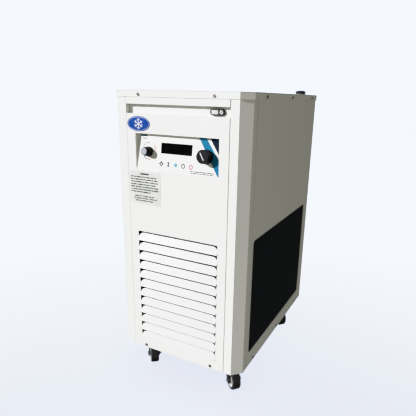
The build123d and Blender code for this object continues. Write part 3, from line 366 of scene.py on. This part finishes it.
M["ink_teal"] = plastic("ink_teal", (0.03, 0.30, 0.42), 0.45, bump=0.02)
M["label"] = plastic("label_film", (0.625, 0.635, 0.610), 0.55, bump=0.03)
M["label_ink"] = plastic("label_ink", (0.028, 0.030, 0.028), 0.6, bump=0.02, specular=0.1)
M["fins_black"] = painted("condenser_black", (0.011, 0.011, 0.0115), rough=0.55, peel=0.3)


def circuit_board():
    m = Mat("circuit_board", (0.01, 0.10, 0.035), 0.4, coat=0.3)
    v = m.n.new("ShaderNodeTexVoronoi")
    v.feature = "DISTANCE_TO_EDGE"
    v.inputs["Scale"].default_value = 160
    m.link(m.coord, v.inputs["Vector"])
    m.set(Base_Color=m.ramp(v.outputs["Distance"], [(0.04, (0.25, 0.22, 0.06)), (0.10, (0.008, 0.085, 0.03))]),
          Roughness=m.range(m.noise(120, 3), 0.32, 0.5))
    return m.m


def display_glass():
    """Smoked window: dark, glossy, with faint smears."""
    m = Mat("display_glass", (0.0006, 0.0006, 0.0008), 0.12, specular=0.12)
    m.set(Roughness=m.range(m.noise(40, 4, 0.6), 0.08, 0.18, 0.4, 0.7),
          Base_Color=m.ramp(m.noise(60, 3), [(0.3, (0.0004, 0.0004, 0.0006)), (0.7, (0.0009, 0.0009, 0.0012))]))
    return m.m


def satin_chrome():
    """Die-cast latch parts with a bright satin plating."""
    m = Mat("latch_satin_chrome", (0.74, 0.735, 0.72), 0.30, metallic=0.35, specular=0.6)
    fine = m.noise(300, 4, 0.6)
    m.set(Base_Color=m.ramp(m.noise(60, 4), [(0.3, (0.66, 0.655, 0.64)), (0.7, (0.78, 0.775, 0.76))]),
          Roughness=m.range(fine, 0.24, 0.40), Normal=m.bump(fine, 0.08, 0.00003, m.bevel(0.0003)))
    return m.m


def lid_paint_edge_shade():
    """Cabinet paint with a thin painted shade line along the lid's folded top edge."""
    m = Mat("lid_paint_edge_shade", WHITE, 0.42, specular=0.45)
    cloud = m.ramp(m.noise(3.2, 3, 0.55), [(0.30, tint(WHITE, 0.985)), (0.72, tint(WHITE, 1.012))])
    dirt = m.range(m.noise(30, 5, 0.62), 0.0, 0.06, 0.55, 0.80)
    c = m.mix(dirt, cloud, tint(WHITE, 0.78))
    x, yy, zz = m.sep()
    zt = (ZB + 657.5) / 1000
    high = m.range(zz, 0.0, 1.0, zt - 0.0025, zt - 0.0019)
    geo = m.n.new("ShaderNodeNewGeometry")
    flat = m.n.new("ShaderNodeSeparateXYZ")
    m.link(geo.outputs["Normal"], flat.inputs[0])
    side = m.range(flat.outputs[2], 1.0, 0.0, 0.90, 0.985)
    # painted shade: the faces of the fold near the top, where they turn from level, are darkened
    edge = m.math("MULTIPLY", m.math("MULTIPLY", high, side), m.range(m.noise(40, 4, 0.6), 0.45, 0.75))
    c = m.mix(edge, c, tint(WHITE, 0.52))
    m.set(Base_Color=c, Roughness=m.range(m.noise(220, 3, 0.6), 0.37, 0.49),
          Normal=m.bump(m.noise(650, 2, 0.5), 0.10, 0.00012))
    return m.m


def seam_paint_shade_highlight(name, bands, rough=0.42):
    """Cabinet paint with painted shade and a painted highlight along the upright seam, broken up a little: (start,
    end, shade) by depth behind the front, in mm.
    """
    m = Mat(name, WHITE, rough, specular=0.45)
    c = m.ramp(m.noise(3.2, 3, 0.55), [(0.30, tint(WHITE, 0.985)), (0.72, tint(WHITE, 1.012))])
    dirt = m.range(m.noise(26, 5, 0.62), 0.0, 0.05, 0.56, 0.80)
    c = m.mix(dirt, c, tint(WHITE, 0.80))
    x, yy, zz = m.sep()
    patchy = m.range(m.noise(60, 4, 0.6, stretch=(1, 1, 0.25)), 0.75, 1.0)
    # each band paints shade (below 1) or a highlight (above 1) into the colour
    for d0, d1, shade in bands:
        ya, yb = (YF + d0) / 1000, (YF + d1) / 1000
        inside = m.math("MULTIPLY", m.range(yy, 0.0, 1.0, ya - 0.0002, ya + 0.0002),
                        m.range(yy, 1.0, 0.0, yb - 0.0002, yb + 0.0002))
        c = m.mix(m.math("MULTIPLY", inside, patchy), c, tint(WHITE, shade))
    m.set(Base_Color=c, Roughness=m.range(m.noise(220, 3, 0.6), rough - 0.05, rough + 0.07),
          Normal=m.bump(m.noise(650, 2, 0.5), 0.10, 0.00012, m.bevel(0.0007)))
    return m.m


def panel_paint_slat_shade():
    """Cabinet paint of the front panel, with painted shade on the louvre slats, stronger towards the top."""
    m = Mat("panel_paint_slat_shade", WHITE, 0.40, specular=0.45)
    c = m.ramp(m.noise(3.2, 3, 0.55), [(0.30, tint(WHITE, 0.985)), (0.72, tint(WHITE, 1.012))])
    dirt = m.range(m.noise(26, 5, 0.62), 0.0, 0.05, 0.56, 0.80)
    c = m.mix(dirt, c, tint(WHITE, 0.80))
    x, yy, zz = m.sep()
    lo, hi = (ZB + 26.0) / 1000, (ZB + 326.0) / 1000
    side = m.range(m.math("ABSOLUTE", x), 1.0, 0.0, 0.1093, 0.1096)
    rise = m.math("MULTIPLY", m.range(zz, 0.0, 1.0, lo - 0.0002, lo + 0.0002), m.range(zz, 1.0, 0.0, hi - 0.0002, hi + 0.0002))
    # painted shade on the slats: stronger towards the top of the louvre, broken up a little
    slat_shade = m.math("MULTIPLY", m.range(zz, 0.55, 1.0, lo, hi), m.range(m.noise(40, 4, 0.6), 0.86, 1.0))
    c = m.mix(m.math("MULTIPLY", m.math("MULTIPLY", side, rise), slat_shade), c, tint(WHITE, 0.70))
    m.set(Base_Color=c, Roughness=m.range(m.noise(220, 3, 0.6), 0.35, 0.47),
          Normal=m.bump(m.noise(650, 2, 0.5), 0.10, 0.00012, m.bevel(0.0007)))
    return m.m


def net_cloth():
    """Woven black cloth inside a slightly lighter moulded border, told apart by place."""
    m = Mat("net_cloth", (0.002, 0.0024, 0.0034), 0.7, specular=0.05)
    x, yy, zz = m.sep()
    cy, cz = (YF + 256.25) / 1000, (ZB + 185.0) / 1000
    dy = m.math("ABSOLUTE", m.math("SUBTRACT", yy, cy))
    dz = m.math("ABSOLUTE", m.math("SUBTRACT", zz, cz))
    rim = m.math("MAXIMUM", m.range(dy, 0.0, 1.0, 0.2004, 0.2008), m.range(dz, 0.0, 1.0, 0.1446, 0.1450))
    weave = m.n.new("ShaderNodeTexWave")
    weave.wave_type = "BANDS"
    weave.inputs["Scale"].default_value = 260
    weave.inputs["Distortion"].default_value = 1.5
    m.link(m.coord, weave.inputs["Vector"])
    cloth = m.ramp(weave.outputs["Fac"], [(0.2, (0.0010, 0.0012, 0.0018)), (0.8, (0.0034, 0.0040, 0.0054))])
    border = m.ramp(m.noise(50, 4), [(0.3, (0.0150, 0.0185, 0.0235)), (0.7, (0.0200, 0.0245, 0.0300))])
    m.set(Base_Color=m.mix(rim, cloth, border), Roughness=m.range(m.noise(160, 4, 0.6), 0.6, 0.8),
          Normal=m.bump(weave.outputs["Fac"], 0.2, 0.0001))
    return m.m


M["cloth"] = net_cloth()
# painted shade in the seam beside the post; on the side panel, a painted highlight along its front edge, then painted
# shade
M["paint_post"] = seam_paint_shade_highlight("post_paint_seam_shade", [(40.9, 43.2, 0.50)])
M["paint_side"] = seam_paint_shade_highlight("side_paint_seam_shade_highlight", [(43.2, 45.0, 1.30), (45.0, 46.6, 0.66)])
M["paint_panel"] = panel_paint_slat_shade()
M["latch"] = satin_chrome()
M["lid"] = lid_paint_edge_shade()
M["board"] = circuit_board()
M["display"] = display_glass()


def wheel_material(tag, centre, axle):
    """Rubber tread on a moulded grey hub, told apart by the distance from the axle line."""
    m = Mat(f"caster_wheel_{tag}", (0.030, 0.030, 0.031), 0.6, specular=0.35)
    rel = m.vec("SUBTRACT", m.coord, centre)
    rad = m.vec("LENGTH", m.vec("CROSS_PRODUCT", rel, axle))
    hub = m.range(rad, 1.0, 0.0, 0.0182, 0.0187)
    dust = m.range(m.noise(90, 5, 0.65), 0.0, 0.5, 0.48, 0.76)
    tyre = m.mix(dust, (0.009, 0.009, 0.010), (0.080, 0.073, 0.062))
    hubc = m.ramp(m.noise(60, 4), [(0.3, (0.50, 0.50, 0.49)), (0.7, (0.62, 0.62, 0.60))])
    m.set(Base_Color=m.mix(hub, tyre, hubc), Roughness=m.range(m.noise(200, 4), 0.5, 0.72),
          Normal=m.bump(m.noise(700, 3, 0.6), 0.2, 0.00015, m.bevel(0.0005)))
    return m.m


def paint_node(name, mat):
    ob = nodes[name]
    ob.data.materials.clear()
    ob.data.materials.append(mat)
    for p in ob.data.polygons:
        p.material_index = 0


SCHEME = {
    "lid": ["top_cover"],
    "paint": ["header_strip", "rear_panel"],
    "paint_post": ["post_front_left", "post_front_right"],
    "paint_side": ["side_panel_left", "side_panel_right"],
    "paint_panel": ["front_panel", "panel_pocket", "control_fascia"],
    "tray": ["base_tray"],
    "display": ["display_window"],
    "board": ["circuit_boards"],
    "knob": ["setting_knob", "flow_knob"],
    "black_plastic": ["latch_housing", "filler_cap", "fan_blade", "power_inlet", "power_switch", "power_rocker"],
    "latch": ["latch_paddle", "latch_cylinder"],
    "blue": ["badge_plate"],
    "label": ["rating_label"],
    "zinc": ["control_spindles", "fan_shroud", "electrical_box", "caster_axle_fl", "caster_axle_fr",
             "caster_axle_rl", "caster_axle_rr"],
    "screw": ["cabinet_screws"],
    "black_enamel": ["compressor", "fan_motor", "caster_plates", "caster_fork_fl", "caster_fork_fr",
                     "caster_fork_rl", "caster_fork_rr"],
    "mount_rubber": ["compressor_mounts"],
    "stainless": ["reservoir_tank", "filler_neck", "temperature_probe"],
    "foam": ["tank_insulation"],
    "copper": ["evaporator_coil", "refrigerant_lines", "filter_drier"],
    "fins_black": ["condenser_coil"],
    "cast": ["circulation_pump"],
    "hose": ["coolant_pipes"],
    "port_plastic": ["hose_nozzles"],
    "brass": ["drain_valve"],
    "red_plastic": ["drain_lever"],
    "cloth": ["side_net_left", "side_net_right"],
}
for key, names in SCHEME.items():
    for nm in names:
        if nm in nodes:
            paint_node(nm, M[key])

for tag, cx, cd, turn in (("fl", -121.7, 65.0, -49.0), ("fr", 121.7, 65.0, -43.0),
                          ("rl", -121.7, 425.0, -43.0), ("rr", 121.7, 425.0, -43.0)):
    w = radians(turn)
    c = Vector(((cx + 25 * cos(w)) / 1000, (YF + cd + 25 * sin(w)) / 1000, 0.025))
    paint_node(f"caster_wheel_{tag}", wheel_material(tag, c, Vector((-sin(w), cos(w), 0))))


# ------------------------------------------------------- print on the control face
def face_decal(name, outlines, material, lo=-0.05, hi=0.07):
    bm = bmesh.new()
    for o in outlines:
        prism(bm, o, on_face, lo, hi)
    return new_object(name, bm, material, "cabinet")


face_decal("face_band_teal", [[[(55.4, 562.3), (52.9, 562.3), (105.9, 480.6), (108.4, 480.6), (108.4, 512.4),
                               (71.0, 562.3)][::-1]]], M["teal"])
face_decal("face_corner_navy", [[[(108.4, 562.3), (80.0, 562.3), (108.4, 521.5)][::-1]]], M["navy"])
DX, DZ, DR = -75.7, 523.0, 18.8
face_decal("face_scale_grey", [[arc_band(DX, DZ, DR + 0.6, 1.2, 88, 152, 30)]], M["ink_grey"])
face_decal("face_bar_teal", [[rounded(-92.5, 557.2, 19.0, 4.0, 0.6)], [rounded(-90.5, 551.0, 13.0, 2.0, 0.5)]],
           M["ink_petrol"])
face_decal("face_rules_black", [[rounded(36.0 + u + w / 2, 487.0, w, 1.8, 0.4, 3)] for u, w in
                                ((0, 6), (8, 4), (13.5, 9), (24, 5), (30.5, 7), (39, 4), (44.5, 10), (56, 4))] +
           [[rounded(38.0 + u + w / 2, 483.4, w, 1.6, 0.4, 3)] for u, w in
            ((0, 5), (6.5, 8), (16, 4), (21.5, 7), (30, 10), (41.5, 5), (48, 8))], M["ink_black"])
face_decal("face_scale_red", [[arc_band(DX, DZ, DR, 2.0, 12, 46, 16)]], M["ink_red"])
face_decal("face_scale_black", [[arc_band(DX, DZ, DR, 2.3, 224, 236, 8)], [arc_band(DX, DZ, DR, 2.3, 241, 254, 8)]],
           M["ink_black"])
face_decal("face_scale_pink", [[arc_band(DX, DZ, DR, 2.0, 260, 284, 12)]], M["ink_pink"])

# five plain pictograms under the display
IC_Z = 497.0


def diamond(cx, cz, r):
    return [(cx + r, cz), (cx, cz + r), (cx - r, cz), (cx, cz - r)]


face_decal("icon_cycle", [[diamond(-40.6, IC_Z, 6.0), diamond(-40.6, IC_Z, 2.6)]], M["ink_black"])
face_decal("icon_timer", [[[(-25.0, IC_Z + 5.0), (-17.6, IC_Z + 5.0), (-20.2, IC_Z), (-17.6, IC_Z - 5.0),
                            (-25.0, IC_Z - 5.0), (-22.4, IC_Z)][::-1]]], M["ink_grey"])
hexa = [(-1.8 + 4.6 * cos(radians(30 + 60 * i)), IC_Z + 4.6 * sin(radians(30 + 60 * i))) for i in range(6)]
face_decal("icon_cool", [[hexa]], M["ink_teal"])
face_decal("icon_pump", [[circle(18.0, IC_Z - 0.6, 5.4), circle(18.0, IC_Z - 0.6, 3.3)]], M["ink_grey"])
face_decal("icon_power", [[circle(37.8, IC_Z - 0.9, 5.2), circle(37.8, IC_Z - 0.9, 3.3)]], M["ink_pink"])

# knob inlays
Cc = Vector((0, sin(LEAN), cos(LEAN)))          # up along the control face


def on_knob(kx):
    base = on_face(kx, KNOB_Z, 0)

    def place(u, v, lift):
        return base + Vector((u / 1000, 0, 0)) + Cc * (v / 1000) + N * (lift / 1000)
    return place


a = radians(-58)
du, dv = cos(a), sin(a)
bm = bmesh.new()
prism(bm, [bar(-1.5 - 9 * du, -9 * dv, -1.5 + 9 * du, 9 * dv, 1.9)], on_knob(KNOB_X), 20.7, 20.88)
new_object("setting_pointer", bm, M["decal_white"], "setting_knob")
bm = bmesh.new()
prism(bm, [circle(0, 0, 7.6, 48)], on_knob(-KNOB_X), 20.3, 20.72)
new_object("flow_knob_cap", bm, M["knob_cap"], "flow_knob")

# -------------------------------------------------------------- badge and label
def on_front(lift0):
    def place(u, v, lift):
        return at(u, -(lift0 + lift), v)
    return place


BX, BZ = -98.5, 583.5
bm = bmesh.new()
pl = on_front(0.8)
for k in range(6):
    a = radians(30 + 60 * k)
    ca, sa = cos(a), sin(a)
    prism(bm, [bar(BX + 1.2 * ca, BZ + 1.2 * sa, BX + 12.2 * ca, BZ + 12.2 * sa, 1.9)], pl, -0.05, 0.08)
    for s in (1, -1):
        b = a + s * radians(55)
        prism(bm, [bar(BX + 7.4 * ca, BZ + 7.4 * sa, BX + 7.4 * ca + 4.4 * cos(b), BZ + 7.4 * sa + 4.4 * sin(b), 1.5)],
              pl, -0.05, 0.06)
prism(bm, [circle(BX, BZ, 1.8, 24)], pl, -0.05, 0.1)
new_object("badge_snowflake", bm, M["decal_white"], "cabinet")
bm = bmesh.new()
prism(bm, [[(BX + 29.4 * cos(2 * pi * i / 72), BZ + 15.1 * sin(2 * pi * i / 72)) for i in range(72)],
           [(BX + 28.7 * cos(2 * pi * i / 72), BZ + 14.4 * sin(2 * pi * i / 72)) for i in range(72)]], pl, -0.05, 0.06)
new_object("badge_rule", bm, M["decal_white"], "cabinet")

bm = bmesh.new()
pl = on_front(0.3)
LX0, LX1, LZ1 = -126.5, -45.0, 470.0
prism(bm, [rounded(-86, 468.5, 24, 3.4, 1.2)], pl, -0.05, 0.05)
rows = [(0, 74), (0, 79), (1, 78), (0, 71), (0, 80), (2, 77), (0, 60)]
pieces = [9, 5, 13, 7, 4, 11, 8, 6, 15, 5, 10, 3, 12, 7]


def dashes(i0, w, zc, first):
    """A row of plain dashes of uneven length."""
    u, k = LX0 + i0, first
    while u < LX0 + i0 + w - 3:
        d = min(pieces[k % len(pieces)], LX0 + i0 + w - u)
        prism(bm, [rounded(u + d / 2, zc, d, 2.4, 0.5, 3)], pl, -0.05, 0.05)
        u += d + 1.5
        k += 1


for i, (i0, w) in enumerate(rows):
    dashes(i0, w, 461.0 - i * 6.0, 3 * i)
for i, (i0, w) in enumerate([(10, 60), (8, 66), (12, 52)]):
    dashes(i0, w, 415.0 - i * 5.6, 5 * i + 2)
new_object("label_lines", bm, M["label_ink"], "cabinet")


# --------------------------------------------------------------- side dust nets
def side_net(sign, tag):
    """Perforated sheet with staggered hexagonal holes, in front of the black cloth and inside the panel's opening."""
    y0, y1, z0, z1 = 52.5, 460.0, 37.0, 333.0
    cy, cz = (y0 + y1) / 2, (z0 + z1) / 2
    pitch = 8.0
    ro, ri = pitch / sqrt(3), pitch / sqrt(3) * 0.70
    xa, xb = sign * (HW + PROUD - T + 0.40), sign * (HW + PROUD - T - 0.09)
    bm = bmesh.new()
    cache = {}

    def corner(u, v, x):
        k = (round(u * 50), round(v * 50), x)
        if k not in cache:
            cache[k] = bm.verts.new(at(x, u, v))
        return cache[k]
    edges = {}
    rowh = pitch * sqrt(3) / 2
    nrow, ncol = int((z1 - z0 + 2) / rowh) + 1, int((y1 - y0 + 2) / pitch) + 1
    for r in range(nrow + 1):
        vz = cz + (r - nrow / 2) * rowh
        for c in range(ncol + 1):
            uy = cy + (c - ncol / 2 + (0.5 if r % 2 else 0.0)) * pitch
            if not (y0 + 6.5 < uy < y1 - 6.5 and z0 + 6.5 < vz < z1 - 6.5):
                continue
            ang = [radians(30 + 60 * k) for k in range(6)]
            out = [(uy + ro * cos(t), vz + ro * sin(t)) for t in ang]
            inn = [(uy + ri * cos(t), vz + ri * sin(t)) for t in ang]
            of, ob_ = [corner(u, v, xa) for u, v in out], [corner(u, v, xb) for u, v in out]
            nf = [bm.verts.new(at(xa, u, v)) for u, v in inn]
            nb = [bm.verts.new(at(xb, u, v)) for u, v in inn]
            for k in range(6):
                j = (k + 1) % 6
                bm.faces.new((of[k], of[j], nf[j], nf[k]))
                bm.faces.new((ob_[j], ob_[k], nb[k], nb[j]))
                bm.faces.new((nf[k], nf[j], nb[j], nb[k]))
                e = tuple(sorted((out[k], out[j])))
                key = tuple(round(q * 50) for p in e for q in p)
                edges.setdefault(key, []).append((of[k], of[j], ob_[j], ob_[k]))
    for quads in edges.values():
        if len(quads) == 1:
            bm.faces.new(quads[0])

    def place(u, v, lift):
        return at(sign * (HW + PROUD - T + 0.40 - lift), u, v)
    prism(bm, [rounded(cy, cz, y1 - y0 - 6.2, z1 - z0 - 6.2, 5.9, 8),
               rounded(cy, cz, y1 - y0 - 12.6, z1 - z0 - 12.6, 3.0, 8)], place, 0.0, 0.49)
    ob = new_object(f"dust_net_{tag}", bm, M["net"], "cabinet")
    return ob


side_net(-1, "left")
side_net(1, "right")

# ------------------------------------------------------------------------ stage
def stage_floor():
    bm = bmesh.new()
    R = 14.0
    n = 64
    vs = [bm.verts.new((R * cos(2 * pi * i / n), R * sin(2 * pi * i / n), 0)) for i in range(n)]
    bm.faces.new(vs)
    me = bpy.data.meshes.new("floor")
    bm.to_mesh(me)
    bm.free()
    ob = bpy.data.objects.new("floor", me)
    bpy.context.scene.collection.objects.link(ob)
    m = Mat("floor_pale", (0.86, 0.885, 0.93), 0.9, specular=0.1)
    # painted light on the floor: darker near the point below the camera, lighter further off
    away = m.vec("LENGTH", m.vec("SUBTRACT", m.coord, (0.506, -1.0385, 0.0)))
    c = m.mix(m.range(away, 0.0, 1.0, 0.95, 2.0), (0.525, 0.565, 0.715), (0.740, 0.815, 0.950))
    m.set(Base_Color=m.mix(m.range(m.noise(1.3, 2), 0.0, 0.03), c, (0.5, 0.53, 0.6)))
    me.materials.append(m.m)
    ob.visible_diffuse = False
    ob.visible_glossy = False
    return ob


floor = stage_floor()

scene = bpy.context.scene
scene.view_settings.view_transform = "Standard"
scene.view_settings.look = "None"
scene.view_settings.exposure = 0.0
scene.view_settings.gamma = 1.0
# highlights roll off softly above 0.78, as on a camera
scene.view_settings.use_curve_mapping = True
cm = scene.view_settings.curve_mapping
cm.use_clip = False
tone = cm.curves[3]
tone.points[0].location, tone.points[1].location = (0.0, 0.0), (1.7, 1.048)
for q in ((0.78, 0.78), (1.0, 0.875), (1.3, 0.96)):
    tone.points.new(*q)
for q in tone.points:
    q.handle_type = "VECTOR"
cm.update()

# lights: one hard key from the upper left, a warm fill all round, and an even
# light for the floor alone
part_col = bpy.data.collections.new("part")
scene.collection.children.link(part_col)
stage_col = bpy.data.collections.new("stage")
scene.collection.children.link(stage_col)
for ob in list(scene.objects):
    if ob.type in ("MESH", "CURVE"):
        (stage_col if ob is floor else part_col).objects.link(ob)


def sun(name, direction, strength, angle, color, receivers, blockers=None):
    li = bpy.data.lights.new(name, "SUN")
    li.energy = strength
    li.angle = radians(angle)
    li.color = color
    ob = bpy.data.objects.new(name, li)
    scene.collection.objects.link(ob)
    ob.rotation_mode = "QUATERNION"
    ob.rotation_quaternion = Vector(direction).to_track_quat("-Z", "Y")
    ob.light_linking.receiver_collection = receivers
    if blockers:
        ob.light_linking.blocker_collection = blockers
    return ob


sun("key", (0.71, 0.885, -0.47), 4.58, 1.6, (0.947, 0.9555, 1.0), part_col)
sun("floor_light", (0.05, 0.1, -1.0), 4.4, 30.0, (1.0, 1.0, 1.0), stage_col, stage_col)

# soft bounce from the floor in front
li = bpy.data.lights.new("bounce", "AREA")
li.shape, li.size, li.energy, li.color = "DISK", 0.6, 0.85, (1.0, 1.0, 0.97)
bounce = bpy.data.objects.new("bounce", li)
scene.collection.objects.link(bounce)
bounce.location = (0.60, -0.74, 0.02)
bounce.rotation_mode = "QUATERNION"
bounce.rotation_quaternion = (Vector((0.08, -0.25, 0.25)) - bounce.location).to_track_quat("-Z", "Y")
bounce.visible_camera = False
bounce.visible_glossy = False
bounce.light_linking.receiver_collection = part_col

world = bpy.data.worlds.new("studio")
scene.world = world
world.use_nodes = True
wn, wl = world.node_tree.nodes, world.node_tree.links
wn.clear()
out = wn.new("ShaderNodeOutputWorld")
lp = wn.new("ShaderNodeLightPath")
fill = wn.new("ShaderNodeBackground")
fill.inputs["Color"].default_value = (1.0, 0.985, 0.83, 1)
fill.inputs["Strength"].default_value = 0.215
seen = wn.new("ShaderNodeBackground")
seen.inputs["Color"].default_value = (1.17, 1.28, 1.50, 1)
seen.inputs["Strength"].default_value = 1.0
gloss = wn.new("ShaderNodeBackground")
gloss.inputs["Strength"].default_value = 1.0
tc = wn.new("ShaderNodeTexCoord")
sx = wn.new("ShaderNodeSeparateXYZ")
rp = wn.new("ShaderNodeValToRGB")
wl.new(tc.outputs["Generated"], sx.inputs[0])
wl.new(sx.outputs["Z"], rp.inputs["Fac"])
els = rp.color_ramp.elements
els[0].position, els[0].color = 0.0, (0.10, 0.10, 0.097, 1)
els[1].position, els[1].color = 0.85, (0.42, 0.43, 0.45, 1)
wl.new(rp.outputs["Color"], gloss.inputs["Color"])
# the fill is a little stronger from the front and from the right
fx, fy = wn.new("ShaderNodeMath"), wn.new("ShaderNodeMath")
fx.operation, fy.operation = "MULTIPLY_ADD", "MULTIPLY_ADD"
wl.new(sx.outputs["X"], fx.inputs[0])
fx.inputs[1].default_value, fx.inputs[2].default_value = 0.05, 0.215
wl.new(sx.outputs["Y"], fy.inputs[0])
fy.inputs[1].default_value = -0.075
wl.new(fx.outputs[0], fy.inputs[2])
wl.new(fy.outputs[0], fill.inputs["Strength"])
mix1 = wn.new("ShaderNodeMixShader")
mix2 = wn.new("ShaderNodeMixShader")
wl.new(lp.outputs["Is Glossy Ray"], mix1.inputs[0])
wl.new(fill.outputs[0], mix1.inputs[1])
wl.new(gloss.outputs[0], mix1.inputs[2])
wl.new(lp.outputs["Is Camera Ray"], mix2.inputs[0])
wl.new(mix1.outputs[0], mix2.inputs[1])
wl.new(seen.outputs[0], mix2.inputs[2])
wl.new(mix2.outputs[0], out.inputs["Surface"])

# ----------------------------------------------------------------------- camera
az, el, roll = radians(26.38), radians(16.81), radians(1.40)
back = Vector((sin(az) * cos(el), -cos(az) * cos(el), sin(el)))
right = Vector((cos(az), sin(az), 0))
up = back.cross(right)
r2 = right * cos(roll) + up * sin(roll)
u2 = up * cos(roll) - right * sin(roll)
cam = bpy.data.cameras.new("camera")
cam.sensor_width = 36.0
cam.sensor_fit = "HORIZONTAL"
cam.lens = 414.7 / 416 * 36.0
cam.shift_x = -13.704 / 416
cam.shift_y = 14.064 / 416
cam.clip_start, cam.clip_end = 0.02, 60.0
cob = bpy.data.objects.new("camera", cam)
scene.collection.objects.link(cob)
m4 = Matrix(((r2.x, u2.x, back.x, 0.506012), (r2.y, u2.y, back.y, -1.038525),
             (r2.z, u2.z, back.z, 0.718686), (0, 0, 0, 1)))
cob.matrix_world = m4
scene.camera = cob

bpy.context.view_layer.update()
